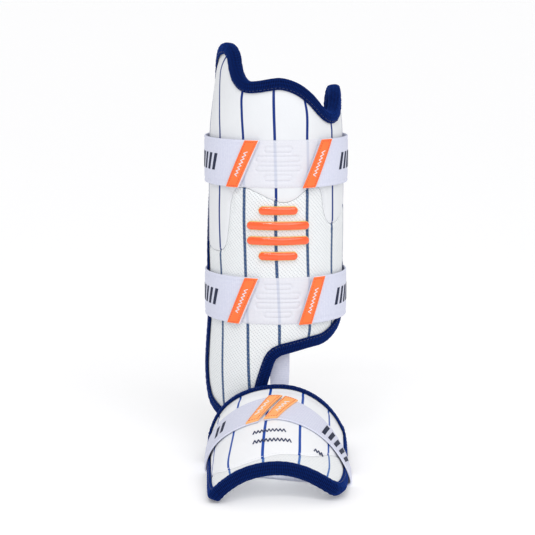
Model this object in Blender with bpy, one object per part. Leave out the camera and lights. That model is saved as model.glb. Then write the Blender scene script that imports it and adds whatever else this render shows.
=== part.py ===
# A leg guard for batting, drawn as it is worn, with the leg left out.
# A padded shin guard is held by two straps that close on its front. A padded foot guard
# hangs from it by a link strap, and its own strap passes under the shoe.
# X runs across the leg, -Y is the front and Z is up. Lengths are in metres.
import math

import bpy
import bmesh
from mathutils import Vector, geometry

# Walls and clearances
clearance = 0.0005
pad_wall = 0.0060
foot_pad_wall = 0.0055
cover_wall = 0.0012
tape_wall = 0.0012
tape_reach = 0.0090
foot_tape_reach = 0.0075
strap_wall = 0.0016
loop_wall = 0.0012
tab_wall = 0.0010
seam_gap = 0.0005

# Shin guard: heights are above the ground, and the radius is the cover's outer face
seat_height = 0.206
shin_radius = 0.0615
shin_bottom = 0.0275
shin_height = 0.3445
strap_width = 0.042
tab_width = 0.0115
tab_overhang = 0.0006

# Emblem of raised ribs on the front
rib_height = 0.0078
rib_pitch = 0.0135
rib_rise = 0.0036
rib_length = 0.056
rib_crown_inset = 0.0016
emblem_angle = 1.5

# Foot guard: reaches are distances in front of the leg's axis
heel_gap = 0.0030
heel_shift = 0.0040
heel_least_reach = 0.012
foot_reach = 0.192
foot_left_half_width = 0.0605
foot_right_half_width = 0.0630
foot_taper = 0.06
foot_rear_crown = 0.0660
foot_front_crown = 0.0280
foot_left_side_angle = 86.0
foot_right_side_angle = 82.0
foot_left_fullness = 1.0
foot_right_fullness = 1.4
foot_strap_width = 0.036
foot_strap_stand_off = 0.0022
foot_rim_drop = 0.0019
foot_toe_drop = 0.0030
foot_toe_share = 0.74

# Link strap between the two guards: it starts above the notch in the shin guard's lower edge
link_width = 0.019
link_shift = 0.0040
link_notch_share = 0.195
link_seat_length = 0.030
link_ramp = 0.011
link_over_tape = 0.0053
link_under_rim = 0.0117
link_clearance = 0.0007
link_drop = 0.014
link_bend = 0.008
link_bend_rise = 0.002
link_step = 0.004
link_foot_length = 0.018

# How finely the faces are divided
grid_turn = 9.0
grid_along = 0.026
loop_spacing = 0.0115
foot_grid_around = 0.0080
foot_grid_along = 0.026
foot_loop_spacing = 0.0084
seam_spacing = 0.0065
seam_samples = 900
least_spacing = 0.0010
slope_step = 0.0002
merge_distance = 1e-7
grid_margin = 0.35
shin_squeeze = 0.6
foot_squeeze = 1.0
tape_bevel_share = 0.8
sharp_angle = 40.0
spline_steps = 12
girth_steps = 60
past_edge_steps = 2
strap_levels = 4
strap_steps = 38
strap_across_steps = 2
panel_steps = 13
tab_steps = 2
rib_flat_steps = 8
rib_round_steps = 5
foot_strap_steps = 12
foot_strap_turns = (30.0, 60.0, 90.0)
link_steps = 8

# Sections of the shin guard's outer face, as shares of its height and of its radius
# share of height, left half width, right half width, depth
shin_sections = [
    (-0.02, 1.010, 0.960, 1.000),
    (0.07, 1.033, 0.960, 1.000),
    (0.14, 1.044, 0.960, 1.000),
    (0.21, 1.028, 0.960, 1.000),
    (0.28, 1.002, 0.966, 1.000),
    (0.40, 1.000, 0.990, 1.000),
    (0.50, 1.000, 1.000, 1.000),
    (0.63, 1.000, 1.000, 1.000),
    (0.72, 0.992, 0.990, 1.000),
    (0.79, 0.974, 0.973, 0.998),
    (0.86, 0.927, 0.925, 0.975),
    (0.93, 0.872, 0.880, 0.945),
    (1.01, 0.805, 0.850, 0.895),
]

# The shin guard's outline at the tape's outer edge, counter-clockwise seen from the front
# angle from the front in degrees, share of height
shin_outline = [
    (-40.0, 0.000), (-30.0, 0.004), (-20.5, 0.024), (-14.0, 0.054), (-10.0, 0.088),
    (-7.2, 0.120), (-4.6, 0.147), (-3.0, 0.163), (-0.3, 0.184), (4.5, 0.195),
    (12.0, 0.201), (28.5, 0.211), (47.0, 0.218), (64.0, 0.238), (78.0, 0.262),
    (90.0, 0.296), (101.0, 0.350), (110.0, 0.428), (115.0, 0.515), (118.0, 0.617),
    (121.0, 0.718), (122.0, 0.785), (118.0, 0.838), (110.0, 0.872), (100.0, 0.887),
    (90.0, 0.885), (80.0, 0.871), (72.0, 0.849), (64.0, 0.830), (57.0, 0.823),
    (51.0, 0.827), (45.0, 0.842), (39.0, 0.861), (33.0, 0.877), (24.3, 0.895),
    (14.0, 0.908), (3.2, 0.914), (-7.5, 0.911), (-18.5, 0.906), (-28.5, 0.906),
    (-36.2, 0.922), (-41.3, 0.946), (-46.0, 0.974), (-53.5, 0.992), (-62.0, 1.000),
    (-72.0, 0.998), (-81.0, 0.990), (-90.0, 0.978), (-100.0, 0.957), (-108.5, 0.922),
    (-115.0, 0.863), (-117.0, 0.770), (-112.5, 0.640), (-103.0, 0.500), (-93.0, 0.405),
    (-87.0, 0.326), (-85.0, 0.239), (-86.0, 0.155), (-84.0, 0.103), (-79.0, 0.068),
    (-72.6, 0.044), (-63.8, 0.028), (-52.0, 0.012),
]

# The seam between the smooth cover and the mesh cover, from the left edge to the right
# angle from the front in degrees, share of height
shin_seam = [
    (-120.0, 0.560), (-100.0, 0.510), (-88.0, 0.475), (-78.0, 0.463), (-64.0, 0.459),
    (-54.0, 0.463), (-47.0, 0.484), (-43.5, 0.540), (-41.0, 0.600), (-36.0, 0.628),
    (-26.0, 0.632), (-15.5, 0.620), (-5.5, 0.606), (5.5, 0.596), (15.5, 0.604),
    (26.0, 0.627), (36.0, 0.634), (41.0, 0.615), (43.5, 0.570), (47.0, 0.545),
    (54.0, 0.532), (67.0, 0.543), (80.0, 0.570), (95.0, 0.605), (125.0, 0.640),
]

# The two straps, as a place on the shin guard and the slanted lines that end them
# name, share of height at the bottom edge, left end at the bottom and top edges,
# right end at the bottom and top edges, in degrees
strap_rows = [
    ("lower", 0.279, -30.5, -14.2, 17.8, 30.8),
    ("upper", 0.634, -31.5, -14.0, 20.4, 37.2),
]
loop_left_angle = -52.0
loop_right_angle = 55.0

# Ribs of the emblem, from the lowest up, as shares of the rib length
rib_shares = (0.62, 1.00, 1.00, 0.62)
emblem_share = 0.517

# The foot guard's front edge at the tape's outer edge, from the left side to the right
# share of the half girth from the crown, share of the reach
foot_front_edge = [
    (-0.985, 0.275), (-1.00, 0.380), (-1.00, 0.600), (-1.00, 0.800), (-0.992, 0.915),
    (-0.960, 1.000), (-0.875, 1.042), (-0.72, 1.049), (-0.54, 1.041), (-0.30, 1.016),
    (0.00, 1.003), (0.26, 1.010), (0.48, 1.021), (0.64, 1.019), (0.78, 0.998),
    (0.89, 0.950), (0.96, 0.866), (1.00, 0.745), (1.00, 0.500), (1.00, 0.300), (0.985, 0.160),
]
heel_shares = (0.90, 0.79, 0.66, 0.53, 0.40, 0.26, 0.12)

# The seam across the foot guard, from the left side to the right
# share of the half girth from the crown, share of the reach
foot_seam = [
    (-1.10, 0.780), (-0.80, 0.845), (-0.68, 0.880), (-0.58, 0.915), (-0.38, 0.938),
    (-0.22, 0.932), (0.00, 0.905), (0.22, 0.886), (0.38, 0.855), (0.62, 0.740),
    (0.80, 0.640), (1.10, 0.560),
]

# The foot strap's middle line over the guard, from the left edge to the right
# share of the half girth from the crown, share of the reach, stand-off share
foot_strap_rows = [
    (-1.00, 0.465, 1.00), (-0.85, 0.485, 1.00), (-0.65, 0.515, 0.90), (-0.45, 0.547, 0.40),
    (-0.22, 0.563, 0.00), (0.00, 0.558, 0.00), (0.22, 0.568, 0.00), (0.45, 0.570, 0.40),
    (0.65, 0.582, 0.90), (0.85, 0.625, 1.00), (1.00, 0.675, 1.00),
]

# The slanted ends of the foot strap, as distances round from the crown
# at the front edge, at the rear edge
foot_left_end = (-0.0165, 0.0045)
foot_right_end = (-0.0104, 0.0078)

# Sizes worked out from those above
slack = clearance + tape_wall
pad_face = -(cover_wall + clearance)
shin_lining_face = pad_face - pad_wall
foot_lining_face = pad_face - foot_pad_wall
loop_face = clearance + loop_wall
strap_low = slack + clearance
strap_high = strap_low + strap_wall
tab_low = strap_high + clearance
heel_radius = shin_radius + slack + heel_gap
foot_length = foot_reach - heel_radius
foot_base = strap_wall + clearance + foot_rim_drop
grid_around = math.radians(grid_turn) * shin_radius
link_notch = shin_bottom + link_notch_share * shin_height
link_tape_top = link_notch + tape_reach + link_over_tape
link_seat_low = link_tape_top + link_ramp
link_free_top = link_notch - link_under_rim
link_tape_end = -(heel_radius + slack + foot_tape_reach + link_clearance)


def blend(a, b, t):
    return a + (b - a) * t


def smooth_step(t):
    t = min(max(t, 0.0), 1.0)
    return t * t * (3 - 2 * t)


# Smooth value in one column of a table whose first column rises
def along(rows, place, column):
    last = len(rows) - 1
    place = min(max(place, rows[0][0]), rows[last][0])
    i = next(k for k in range(last) if place <= rows[k + 1][0])
    before = rows[max(i - 1, 0)]
    start = rows[i]
    end = rows[i + 1]
    after = rows[min(i + 2, last)]
    span = end[0] - start[0]
    t = (place - start[0]) / span
    rise = end[column] - start[column]
    leave = (end[column] - before[column]) * span / (end[0] - before[0])
    arrive = (after[column] - start[column]) * span / (after[0] - start[0])
    curve = leave * (1 - t) - arrive * t + rise * (2 * t - 1)
    return start[column] + rise * t + t * (1 - t) * curve


# The shin guard's outer face, from a distance round the leg and a height
def shin(around, height):
    angle = around / shin_radius
    share = (height - shin_bottom) / shin_height
    side = 1 if math.sin(angle) < 0 else 2
    half_width = shin_radius * along(shin_sections, share, side)
    depth = shin_radius * along(shin_sections, share, 3)
    return Vector((half_width * math.sin(angle), -depth * math.cos(angle), height))


# A straight round face for a strap, as wide as the shin guard's widest section behind it
def strap_face(low, high):
    levels = [blend(low, high, i / strap_levels) for i in range(strap_levels + 1)]

    def face(around, height):
        widest = max((shin(around, level) for level in levels), key=lambda p: p.xy.length)
        return Vector((widest.x, widest.y, height))
    return face


def foot_half_width(side):
    return foot_left_half_width if side < 0 else foot_right_half_width


# How full the foot guard's arch is: 1 is a half ellipse, and more is more pointed
def foot_fullness(side):
    return foot_left_fullness if side < 0 else foot_right_fullness


# Angle of the arch's lower edge from its crown
def foot_side_angle(side):
    return math.radians(foot_left_side_angle if side < 0 else foot_right_side_angle)


# One point of the foot guard's cross-section, as across and up
def foot_section(angle, side, half_width, crown):
    full = foot_fullness(side)
    end = foot_side_angle(side)
    low = math.cos(end) ** full
    rise = (max(math.cos(angle), 0.0) ** full - low) / (1 - low)
    return side * half_width * math.sin(angle) / math.sin(end), crown * rise


# Girth from the crown down one side of the largest section, as pairs of girth and angle,
# with a short stretch past the lower edge so that the edge has a slope on both sides
def foot_girth(side):
    table = [(0.0, 0.0)]
    here = foot_section(0.0, side, foot_half_width(side), foot_rear_crown)
    for i in range(1, girth_steps + past_edge_steps + 1):
        angle = foot_side_angle(side) * i / girth_steps
        there = foot_section(angle, side, foot_half_width(side), foot_rear_crown)
        girth = table[-1][0] + math.dist(here, there)
        table.append((girth, angle))
        here = there
    return table


foot_girths = {-1: foot_girth(-1), 1: foot_girth(1)}


# The foot guard's outer face, from a distance round from the crown and a place along Y
def foot(around, y):
    side = -1 if around < 0 else 1
    angle = along(foot_girths[side], abs(around), 1)
    run = (-y - heel_radius) / foot_length
    half_width = foot_half_width(side) * (1 - foot_taper * run)
    crown = foot_rear_crown + (foot_front_crown - foot_rear_crown) * run
    across, up = foot_section(angle, side, half_width, crown)
    toe = (-y / foot_reach - foot_toe_share) / (1 - foot_toe_share)
    drop = foot_toe_drop * smooth_step(toe)
    return Vector((across, y, foot_base - drop + up))


def foot_around(share):
    side = -1 if share < 0 else 1
    return share * foot_girths[side][girth_steps][0]


# The outward normal of a face, and how long a unit step round and along it really is
def lie(face, around, along_it):
    across = face(around + slope_step, along_it) - face(around - slope_step, along_it)
    up = face(around, along_it + slope_step) - face(around, along_it - slope_step)
    run = 2 * slope_step
    return across.cross(up).normalized(), across.length / run, up.length / run


def lifted(face, around, along_it, offset):
    return face(around, along_it) + lie(face, around, along_it)[0] * offset


# A smooth closed line through the points, cut into equal lengths
def smooth_loop(points, spacing):
    dense = []
    count = len(points)
    for i in range(count):
        a, b, c, d = (points[(i + k) % count] for k in (-1, 0, 1, 2))
        for k in range(spline_steps):
            t = k / spline_steps
            dense.append(tuple(
                0.5 * (2 * b[j] + (c[j] - a[j]) * t
                       + (2 * a[j] - 5 * b[j] + 4 * c[j] - d[j]) * t * t
                       + (3 * b[j] - a[j] - 3 * c[j] + d[j]) * t ** 3)
                for j in (0, 1)))
    return even_loop(dense, spacing)


def even_loop(points, spacing):
    closed = points + points[:1]
    lengths = [math.dist(a, b) for a, b in zip(closed, closed[1:])]
    count = round(sum(lengths) / spacing)
    gap = sum(lengths) / count
    result = []
    travelled = 0.0
    wanted = 0.0
    for a, b, length in zip(closed, closed[1:], lengths):
        while wanted < travelled + length and len(result) < count:
            t = (wanted - travelled) / length
            result.append((a[0] + (b[0] - a[0]) * t, a[1] + (b[1] - a[1]) * t))
            wanted += gap
        travelled += length
    return result


# For each point of a counter-clockwise loop, the step that goes one metre inwards
def inward_steps(face, loop):
    steps = []
    count = len(loop)
    for i in range(count):
        before = loop[i - 1]
        after = loop[(i + 1) % count]
        around_scale, along_scale = lie(face, *loop[i])[1:]
        run = (after[0] - before[0]) * around_scale
        rise = (after[1] - before[1]) * along_scale
        length = math.hypot(run, rise)
        steps.append((-rise / length / around_scale, run / length / along_scale))
    return steps


def inset(face, loop, distance):
    steps = inward_steps(face, loop)
    return [(p[0] + s[0] * distance, p[1] + s[1] * distance) for p, s in zip(loop, steps)]


# A smooth line from left to right as short steps, moved half a gap up or down
def seam_line(table, side):
    dense = []
    for i in range(seam_samples + 1):
        place = blend(table[0][0], table[-1][0], i / seam_samples)
        dense.append((place, along(table, place, 1)))
    line = [dense[0]]
    for point in dense:
        if math.dist(point, line[-1]) >= seam_spacing:
            line.append(point)
    moved = []
    for i, point in enumerate(line):
        before = line[max(i - 1, 0)]
        after = line[min(i + 1, len(line) - 1)]
        shift = side * seam_gap / 2 / math.dist(before, after)
        run = after[0] - before[0]
        rise = after[1] - before[1]
        moved.append((point[0] - rise * shift, point[1] + run * shift))
    return moved


def height_on(line, place):
    for a, b in zip(line, line[1:]):
        if place <= b[0]:
            return blend(a[1], b[1], (place - a[0]) / (b[0] - a[0]))
    return line[-1][1]


# The part of a loop that lies above a line from left to right, or below it
def clipped(loop, line, side):
    result = []
    crossings = {}
    count = len(loop)
    for i in range(count):
        a = loop[i]
        b = loop[(i + 1) % count]
        over_a = (a[1] - height_on(line, a[0])) * side
        over_b = (b[1] - height_on(line, b[0])) * side
        if over_a > 0:
            result.append(a)
        if (over_a > 0) != (over_b > 0):
            t = over_a / (over_a - over_b)
            cross = (blend(a[0], b[0], t), blend(a[1], b[1], t))
            crossings[over_a > 0] = (len(result), cross[0])
            result.append(cross)
    leave, start = crossings[True]
    end = crossings[False][1]
    low = min(start, end) + least_spacing
    high = max(start, end) - least_spacing
    inside = [p for p in line if low < p[0] < high]
    if end < start:
        inside.reverse()
    return result[:leave + 1] + inside + result[leave + 1:]


def new_object(name, mesh_data, material):
    mesh = bpy.data.meshes.new(name)
    mesh_data.to_mesh(mesh)
    mesh_data.free()
    thing = bpy.data.objects.new(name, mesh)
    bpy.context.collection.objects.link(thing)
    mesh.materials.append(material)
    mesh.shade_smooth()
    mesh.set_sharp_from_angle(angle=math.radians(sharp_angle))
    thing.parent = guard
    return thing


def finish_solid(name, solid, material):
    bmesh.ops.triangulate(solid, faces=solid.faces[:])
    bmesh.ops.recalc_face_normals(solid, faces=solid.faces[:])
    return new_object(name, solid, material)


# Points inside a rim: one ring where the tape's legs end, and an even grid inside it
def inner_points(face, rim, reach, across_pitch, along_pitch):
    ring = []
    for point in inset(face, rim, reach):
        if not ring or math.dist(point, ring[-1]) > least_spacing:
            ring.append(point)
    points = list(ring)
    columns = grid_range(rim, 0, across_pitch)
    for row in grid_range(rim, 1, along_pitch):
        for column in columns:
            spot = (column * across_pitch, row * along_pitch)
            if deep_inside(spot, ring, grid_margin * across_pitch):
                points.append(spot)
    return points


def grid_range(loop, axis, pitch):
    values = [point[axis] for point in loop]
    return range(math.floor(min(values) / pitch), math.ceil(max(values) / pitch) + 1)


# Triangles that fill a loop and use the inner points that lie well inside it. Heights are
# squeezed while the triangles are chosen, so that long ones run up the leg and not round it
def filled(loop, inner, squeeze):
    flat = list(loop) + [p for p in inner if deep_inside(p, loop, least_spacing)]
    points = [Vector((p[0], p[1] * squeeze)) for p in flat]
    outer = [list(range(len(loop)))]
    result = geometry.delaunay_2d_cdt(points, [], outer, 1, merge_distance)
    return [(v[0], v[1] / squeeze) for v in result[0]], [list(f) for f in result[2]]


# Whether a flat point lies inside a loop and at least a margin away from it
def deep_inside(point, loop, margin):
    spot = Vector(point)
    inside = False
    for a, b in zip(loop, loop[1:] + loop[:1]):
        if (a[1] > spot.y) != (b[1] > spot.y):
            if spot.x < a[0] + (b[0] - a[0]) * (spot.y - a[1]) / (b[1] - a[1]):
                inside = not inside
        start = Vector(a)
        edge = Vector(b) - start
        t = min(max((spot - start).dot(edge) / edge.length_squared, 0.0), 1.0)
        if (spot - start - edge * t).length < margin:
            return False
    return inside


# A wall between two offsets of a face, inside a loop
def plate(name, face, loop, inner, squeeze, low, high, material):
    flat, triangles = filled(loop, inner, squeeze)
    solid = bmesh.new()
    top = [solid.verts.new(lifted(face, *p, high)) for p in flat]
    bottom = [solid.verts.new(lifted(face, *p, low)) for p in flat]
    for a, b, c in triangles:
        solid.faces.new((top[a], top[b], top[c]))
        solid.faces.new((bottom[c], bottom[b], bottom[a]))
    counted = {}
    for triangle in triangles:
        for a, b in zip(triangle, triangle[1:] + triangle[:1]):
            counted.setdefault(frozenset((a, b)), []).append((a, b))
    for uses in counted.values():
        if len(uses) == 1:
            a, b = uses[0]
            solid.faces.new((top[b], top[a], bottom[a], bottom[b]))
    return finish_solid(name, solid, material)


# A tape folded round the rim of a padded wall
def tape(name, face, rim, lining_face, reach, material):
    low = lining_face - slack
    bevel = tape_bevel_share * tape_wall
    profile = [
        (reach, slack), (bevel - slack, slack), (-slack, slack - bevel),
        (-slack, low + bevel), (bevel - slack, low), (reach, low),
        (reach, low + tape_wall), (-clearance, low + tape_wall),
        (-clearance, clearance), (reach, clearance),
    ]
    steps = inward_steps(face, rim)
    solid = bmesh.new()
    rings = []
    for point, step in zip(rim, steps):
        rings.append([solid.verts.new(lifted(
            face, point[0] + step[0] * inwards, point[1] + step[1] * inwards, offset))
            for inwards, offset in profile])
    join_rings(solid, rings, True, True)
    return finish_solid(name, solid, material)


def join_rings(solid, rings, close_rings, close_rows):
    following = rings[1:] + (rings[:1] if close_rings else [])
    for ring, after in zip(rings, following):
        count = len(ring)
        for i in range(count if close_rows else count - 1):
            k = (i + 1) % count
            solid.faces.new((ring[i], ring[k], after[k], after[i]))


# A closed wall between two grids of points of the same size
def wall_between(name, outside, inside, material):
    solid = bmesh.new()
    rings = []
    for outer_row, inner_row in zip(outside, inside):
        rings.append([solid.verts.new(p) for p in outer_row + inner_row[::-1]])
    join_rings(solid, rings, False, True)
    across = len(outside[0])
    for ring in (rings[0], rings[-1]):
        for i in range(across - 1):
            solid.faces.new((ring[i], ring[i + 1], ring[-i - 2], ring[-i - 1]))
    return finish_solid(name, solid, material)


# A band on a face, from rows of flat points across it
def band(name, face, rows, low, high, material):
    outside = [[lifted(face, *p, high) for p in row] for row in rows]
    inside = [[lifted(face, *p, low) for p in row] for row in rows]
    return wall_between(name, outside, inside, material)


# Rows of flat points from a slanted start to a slanted end, each row from low to high
def rows_between(start, end, low, high, count):
    rows = []
    for i in range(count + 1):
        row = []
        for k in range(strap_across_steps + 1):
            share = k / strap_across_steps
            place = blend(blend(start[0], start[1], share), blend(end[0], end[1], share), i / count)
            row.append((place, blend(low, high, share)))
        rows.append(row)
    return rows


def colour(name, red, green, blue, roughness):
    material = bpy.data.materials.new(name)
    material.use_nodes = True
    shader = material.node_tree.nodes["Principled BSDF"]
    shader.inputs["Base Color"].default_value = (red, green, blue, 1.0)
    shader.inputs["Roughness"].default_value = roughness
    shader.inputs["Metallic"].default_value = 0.0
    return material


def round_the_leg(degrees):
    return math.radians(degrees) * shin_radius


def shin_height_at(share):
    return shin_bottom + share * shin_height


def build_shin_guard():
    outline = [(round_the_leg(a), shin_height_at(h)) for a, h in shin_outline]
    rim = inset(shin, smooth_loop(outline, loop_spacing), slack)
    seam = [(round_the_leg(a), shin_height_at(h)) for a, h in shin_seam]
    inner = inner_points(shin, rim, tape_reach, grid_around, grid_along)
    plate("shin_pad", shin, rim, inner, shin_squeeze, shin_lining_face, pad_face, foam)
    for name, side in (("shin_upper_cover", 1), ("shin_mesh_cover", -1)):
        part = clipped(rim, seam_line(seam, side), side)
        plate(name, shin, part, inner, shin_squeeze, -cover_wall, 0.0, white)
    tape("shin_binding", shin, rim, shin_lining_face, tape_reach, navy)


# A strap that runs round the back of the leg, its tabs, and the panel it closes on
def build_strap(name, low_share, left_low, left_high, right_low, right_high):
    low = shin_height_at(low_share)
    high = low + strap_width
    face = strap_face(low, high)
    left = (round_the_leg(left_low), round_the_leg(left_high))
    right = (round_the_leg(right_low - 360), round_the_leg(right_high - 360))
    start = shifted(left, -tab_overhang)
    end = shifted(right, tab_overhang)
    rows = rows_between(start, end, low, high, strap_steps)
    band(name + "_strap", face, rows, strap_low, strap_high, elastic)
    left_tab = rows_between(left, shifted(left, -tab_width), low, high, tab_steps)
    band(name + "_tab_left", face, left_tab, tab_low, tab_low + tab_wall, orange)
    right = (round_the_leg(right_low), round_the_leg(right_high))
    right_tab = rows_between(right, shifted(right, tab_width), low, high, tab_steps)
    band(name + "_tab_right", face, right_tab, tab_low, tab_low + tab_wall, orange)
    begin = (round_the_leg(loop_left_angle),) * 2
    finish = (round_the_leg(loop_right_angle),) * 2
    panel = rows_between(begin, finish, low, high, panel_steps)
    band(name + "_loop_panel", shin, panel, clearance, loop_face, milky)


def shifted(line, distance):
    return tuple(place + distance for place in line)


# A raised rib with round ends, as a stack of rings closed above and below
def build_rib(name, middle, height, length):
    def ring_at(shrink):
        half = rib_height / 2 - shrink
        straight = length / 2 - rib_height / 2
        loop = []
        for side in (1, -1):
            for i in range(rib_flat_steps):
                along_rib = straight * (1 - 2 * i / rib_flat_steps)
                loop.append((middle - side * along_rib, height - side * half))
            for i in range(rib_round_steps):
                turn = math.pi * i / rib_round_steps
                loop.append((middle + side * (straight + half * math.sin(turn)),
                             height - side * half * math.cos(turn)))
        return loop

    low_loop = ring_at(0.0)
    high_loop = ring_at(rib_crown_inset)
    solid = bmesh.new()
    shoulder = rib_rise - rib_crown_inset
    rings = []
    for loop, offset in ((low_loop, clearance), (low_loop, shoulder), (high_loop, rib_rise)):
        rings.append([solid.verts.new(lifted(shin, *p, offset)) for p in loop])
    join_rings(solid, rings, False, True)
    for ring, loop in ((rings[0], low_loop), (rings[-1], high_loop)):
        for triangle in filled(loop, [], 1.0)[1]:
            solid.faces.new([ring[i] for i in triangle])
    return finish_solid(name, solid, orange)


def build_emblem():
    first = shin_height_at(emblem_share) - rib_pitch * (len(rib_shares) - 1) / 2
    for i, share in enumerate(rib_shares):
        build_rib(f"emblem_rib_{i + 1}", round_the_leg(emblem_angle),
                  first + rib_pitch * i, rib_length * share)


# The heel edge of the foot guard goes round the ankle with an even gap
def heel_reach(share):
    across = foot(foot_around(share), -heel_radius).x + heel_shift
    return max(math.sqrt(max(heel_radius ** 2 - across ** 2, 0.0)), heel_least_reach)


def build_foot_guard():
    outline = [(foot_around(s), -r * foot_reach) for s, r in foot_front_edge]
    for share in heel_shares + (0.0,) + tuple(-s for s in heel_shares[::-1]):
        outline.append((foot_around(share), -heel_reach(share)))
    rim = inset(foot, smooth_loop(outline, foot_loop_spacing), slack)
    seam = [(foot_around(s), -r * foot_reach) for s, r in foot_seam]
    inner = inner_points(foot, rim, foot_tape_reach, foot_grid_around, foot_grid_along)
    plate("foot_pad", foot, rim, inner, foot_squeeze, foot_lining_face, pad_face, foam)
    for name, side in (("foot_upper_cover", 1), ("foot_toe_cover", -1)):
        part = clipped(rim, seam_line(seam, side), side)
        plate(name, foot, part, inner, foot_squeeze, -cover_wall, 0.0, white)
    tape("foot_binding", foot, rim, foot_lining_face, foot_tape_reach, navy)


# A point of the foot strap's lower face over the guard, raised by a lift
def foot_strap_spot(around, edge, lift):
    share = around / abs(foot_around(-1.0 if around < 0 else 1.0))
    reach = along(foot_strap_rows, share, 1) * foot_reach
    stand_off = blend(clearance, foot_strap_stand_off, along(foot_strap_rows, share, 2))
    return lifted(foot, around, edge * foot_strap_width / 2 - reach, stand_off + lift)


# The outer and the inner point of the foot strap where it turns under the guard's edge
def foot_strap_turn(side, edge, turn):
    around = foot_around(side)
    reach = along(foot_strap_rows, side, 1) * foot_reach
    y = edge * foot_strap_width / 2 - reach
    across = foot(around, y).x
    points = []
    for depth, out in ((foot_base, strap_wall + foot_strap_stand_off),
                       (foot_base - strap_wall, foot_strap_stand_off)):
        x = across + side * out * math.cos(turn)
        points.append(Vector((x, y, foot_base - depth * math.sin(turn))))
    return points


# The strap over the foot guard and under the shoe, with its two slanted ends at the crown
def build_foot_strap():
    edges = (-1.0, -1 / 3, 1 / 3, 1.0)

    def row_over(ends, side, t):
        row = []
        for edge in edges:
            place = blend(blend(*ends, (edge + 1) / 2), foot_around(side), t)
            row.append([foot_strap_spot(place, edge, lift) for lift in (strap_wall, 0.0)])
        return row

    shares = [i / foot_strap_steps for i in range(foot_strap_steps + 1)]
    turns = [math.radians(degrees) for degrees in foot_strap_turns]
    rows = [row_over(foot_left_end, -1.0, t) for t in shares]
    rows += [[foot_strap_turn(-1, edge, turn) for edge in edges] for turn in turns]
    rows += [[foot_strap_turn(1, edge, turn) for edge in edges] for turn in turns[::-1]]
    rows += [row_over(foot_right_end, 1.0, t) for t in shares[::-1]]
    outside = [[pair[0] for pair in row] for row in rows]
    inside = [[pair[1] for pair in row] for row in rows]
    wall_between("foot_strap", outside, inside, elastic)
    build_foot_tab("foot_tab_left", foot_left_end, -1)
    build_foot_tab("foot_tab_right", foot_right_end, 1)


def build_foot_tab(name, ends, side):
    low = strap_wall + clearance
    walls = []
    for lift in (low + tab_wall, low):
        rows = []
        for out in (-tab_overhang, tab_width / 2, tab_width - tab_overhang):
            row = []
            for share in (0.0, 0.5, 1.0):
                place = blend(*ends, share) + side * out
                row.append(foot_strap_spot(place, 2 * share - 1, lift))
            rows.append(row)
        walls.append(rows)
    wall_between(name, walls[0], walls[1], orange)


# The link strap lies on the shin guard's lining, passes the tapes and ends under the foot guard
def build_link():
    inner_radius = shin_radius + shin_lining_face
    over_tape = slack + link_clearance
    columns = []
    for edge in (-1.0, 0.0, 1.0):
        across = link_shift + edge * link_width / 2
        around = across * shin_radius / inner_radius
        line = [lifted(shin, around, height, shin_lining_face - gap) for height, gap in (
            (link_seat_low + link_seat_length, link_clearance), (link_seat_low, link_clearance),
            (link_tape_top, over_tape), (link_free_top, over_tape))]
        ending = [lifted(foot, across, y, foot_lining_face - gap) for y, gap in (
            (-heel_radius, over_tape), (link_tape_end, over_tape),
            (link_tape_end - link_step, link_clearance),
            (link_tape_end - link_foot_length, link_clearance))]
        start = line[-1]
        finish = ending[0]
        down = Vector((0.0, 0.0, -link_drop))
        back = Vector((0.0, link_bend, link_bend_rise))
        bezier = []
        for i in range(1, link_steps):
            t = i / link_steps
            bezier.append(start * (1 - t) ** 3 + (start + down) * 3 * t * (1 - t) ** 2
                          + (finish + back) * 3 * t * t * (1 - t) + finish * t ** 3)
        columns.append(line + bezier + ending)
    outside = [list(row) for row in zip(*columns)]
    inside = []
    for i, row in enumerate(outside):
        before = outside[max(i - 1, 0)]
        after = outside[min(i + 1, len(outside) - 1)]
        normal = (row[-1] - row[0]).cross(after[1] - before[1]).normalized()
        inside.append([point + normal * strap_wall for point in row])
    wall_between("link_strap", outside, inside, elastic)


# Scene and materials
for thing in list(bpy.data.objects):
    bpy.data.objects.remove(thing)

foam = colour("lining foam", 0.80, 0.81, 0.83, 0.9)
white = colour("white cover", 0.88, 0.89, 0.91, 0.6)
navy = colour("navy knit tape", 0.005, 0.018, 0.09, 0.85)
elastic = colour("lavender white elastic", 0.76, 0.78, 0.87, 0.8)
milky = colour("milky loop fabric", 0.86, 0.86, 0.89, 0.7)
orange = colour("orange rubber", 1.0, 0.2, 0.05, 0.4)

guard = bpy.data.objects.new("guard_frame", None)
bpy.context.collection.objects.link(guard)
guard.location = (0.0, 0.0, -seat_height)

build_shin_guard()
for row in strap_rows:
    build_strap(*row)
build_emblem()
build_foot_guard()
build_foot_strap()
build_link()
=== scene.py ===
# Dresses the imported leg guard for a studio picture.
# The solids in the frame carry it, and the pieces made here lie on the same curved faces.
# Lengths are in metres, heights are above the ground, and -Y is the front.
import math

import bmesh
import bpy
import numpy as np
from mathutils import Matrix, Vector, geometry, noise


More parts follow.
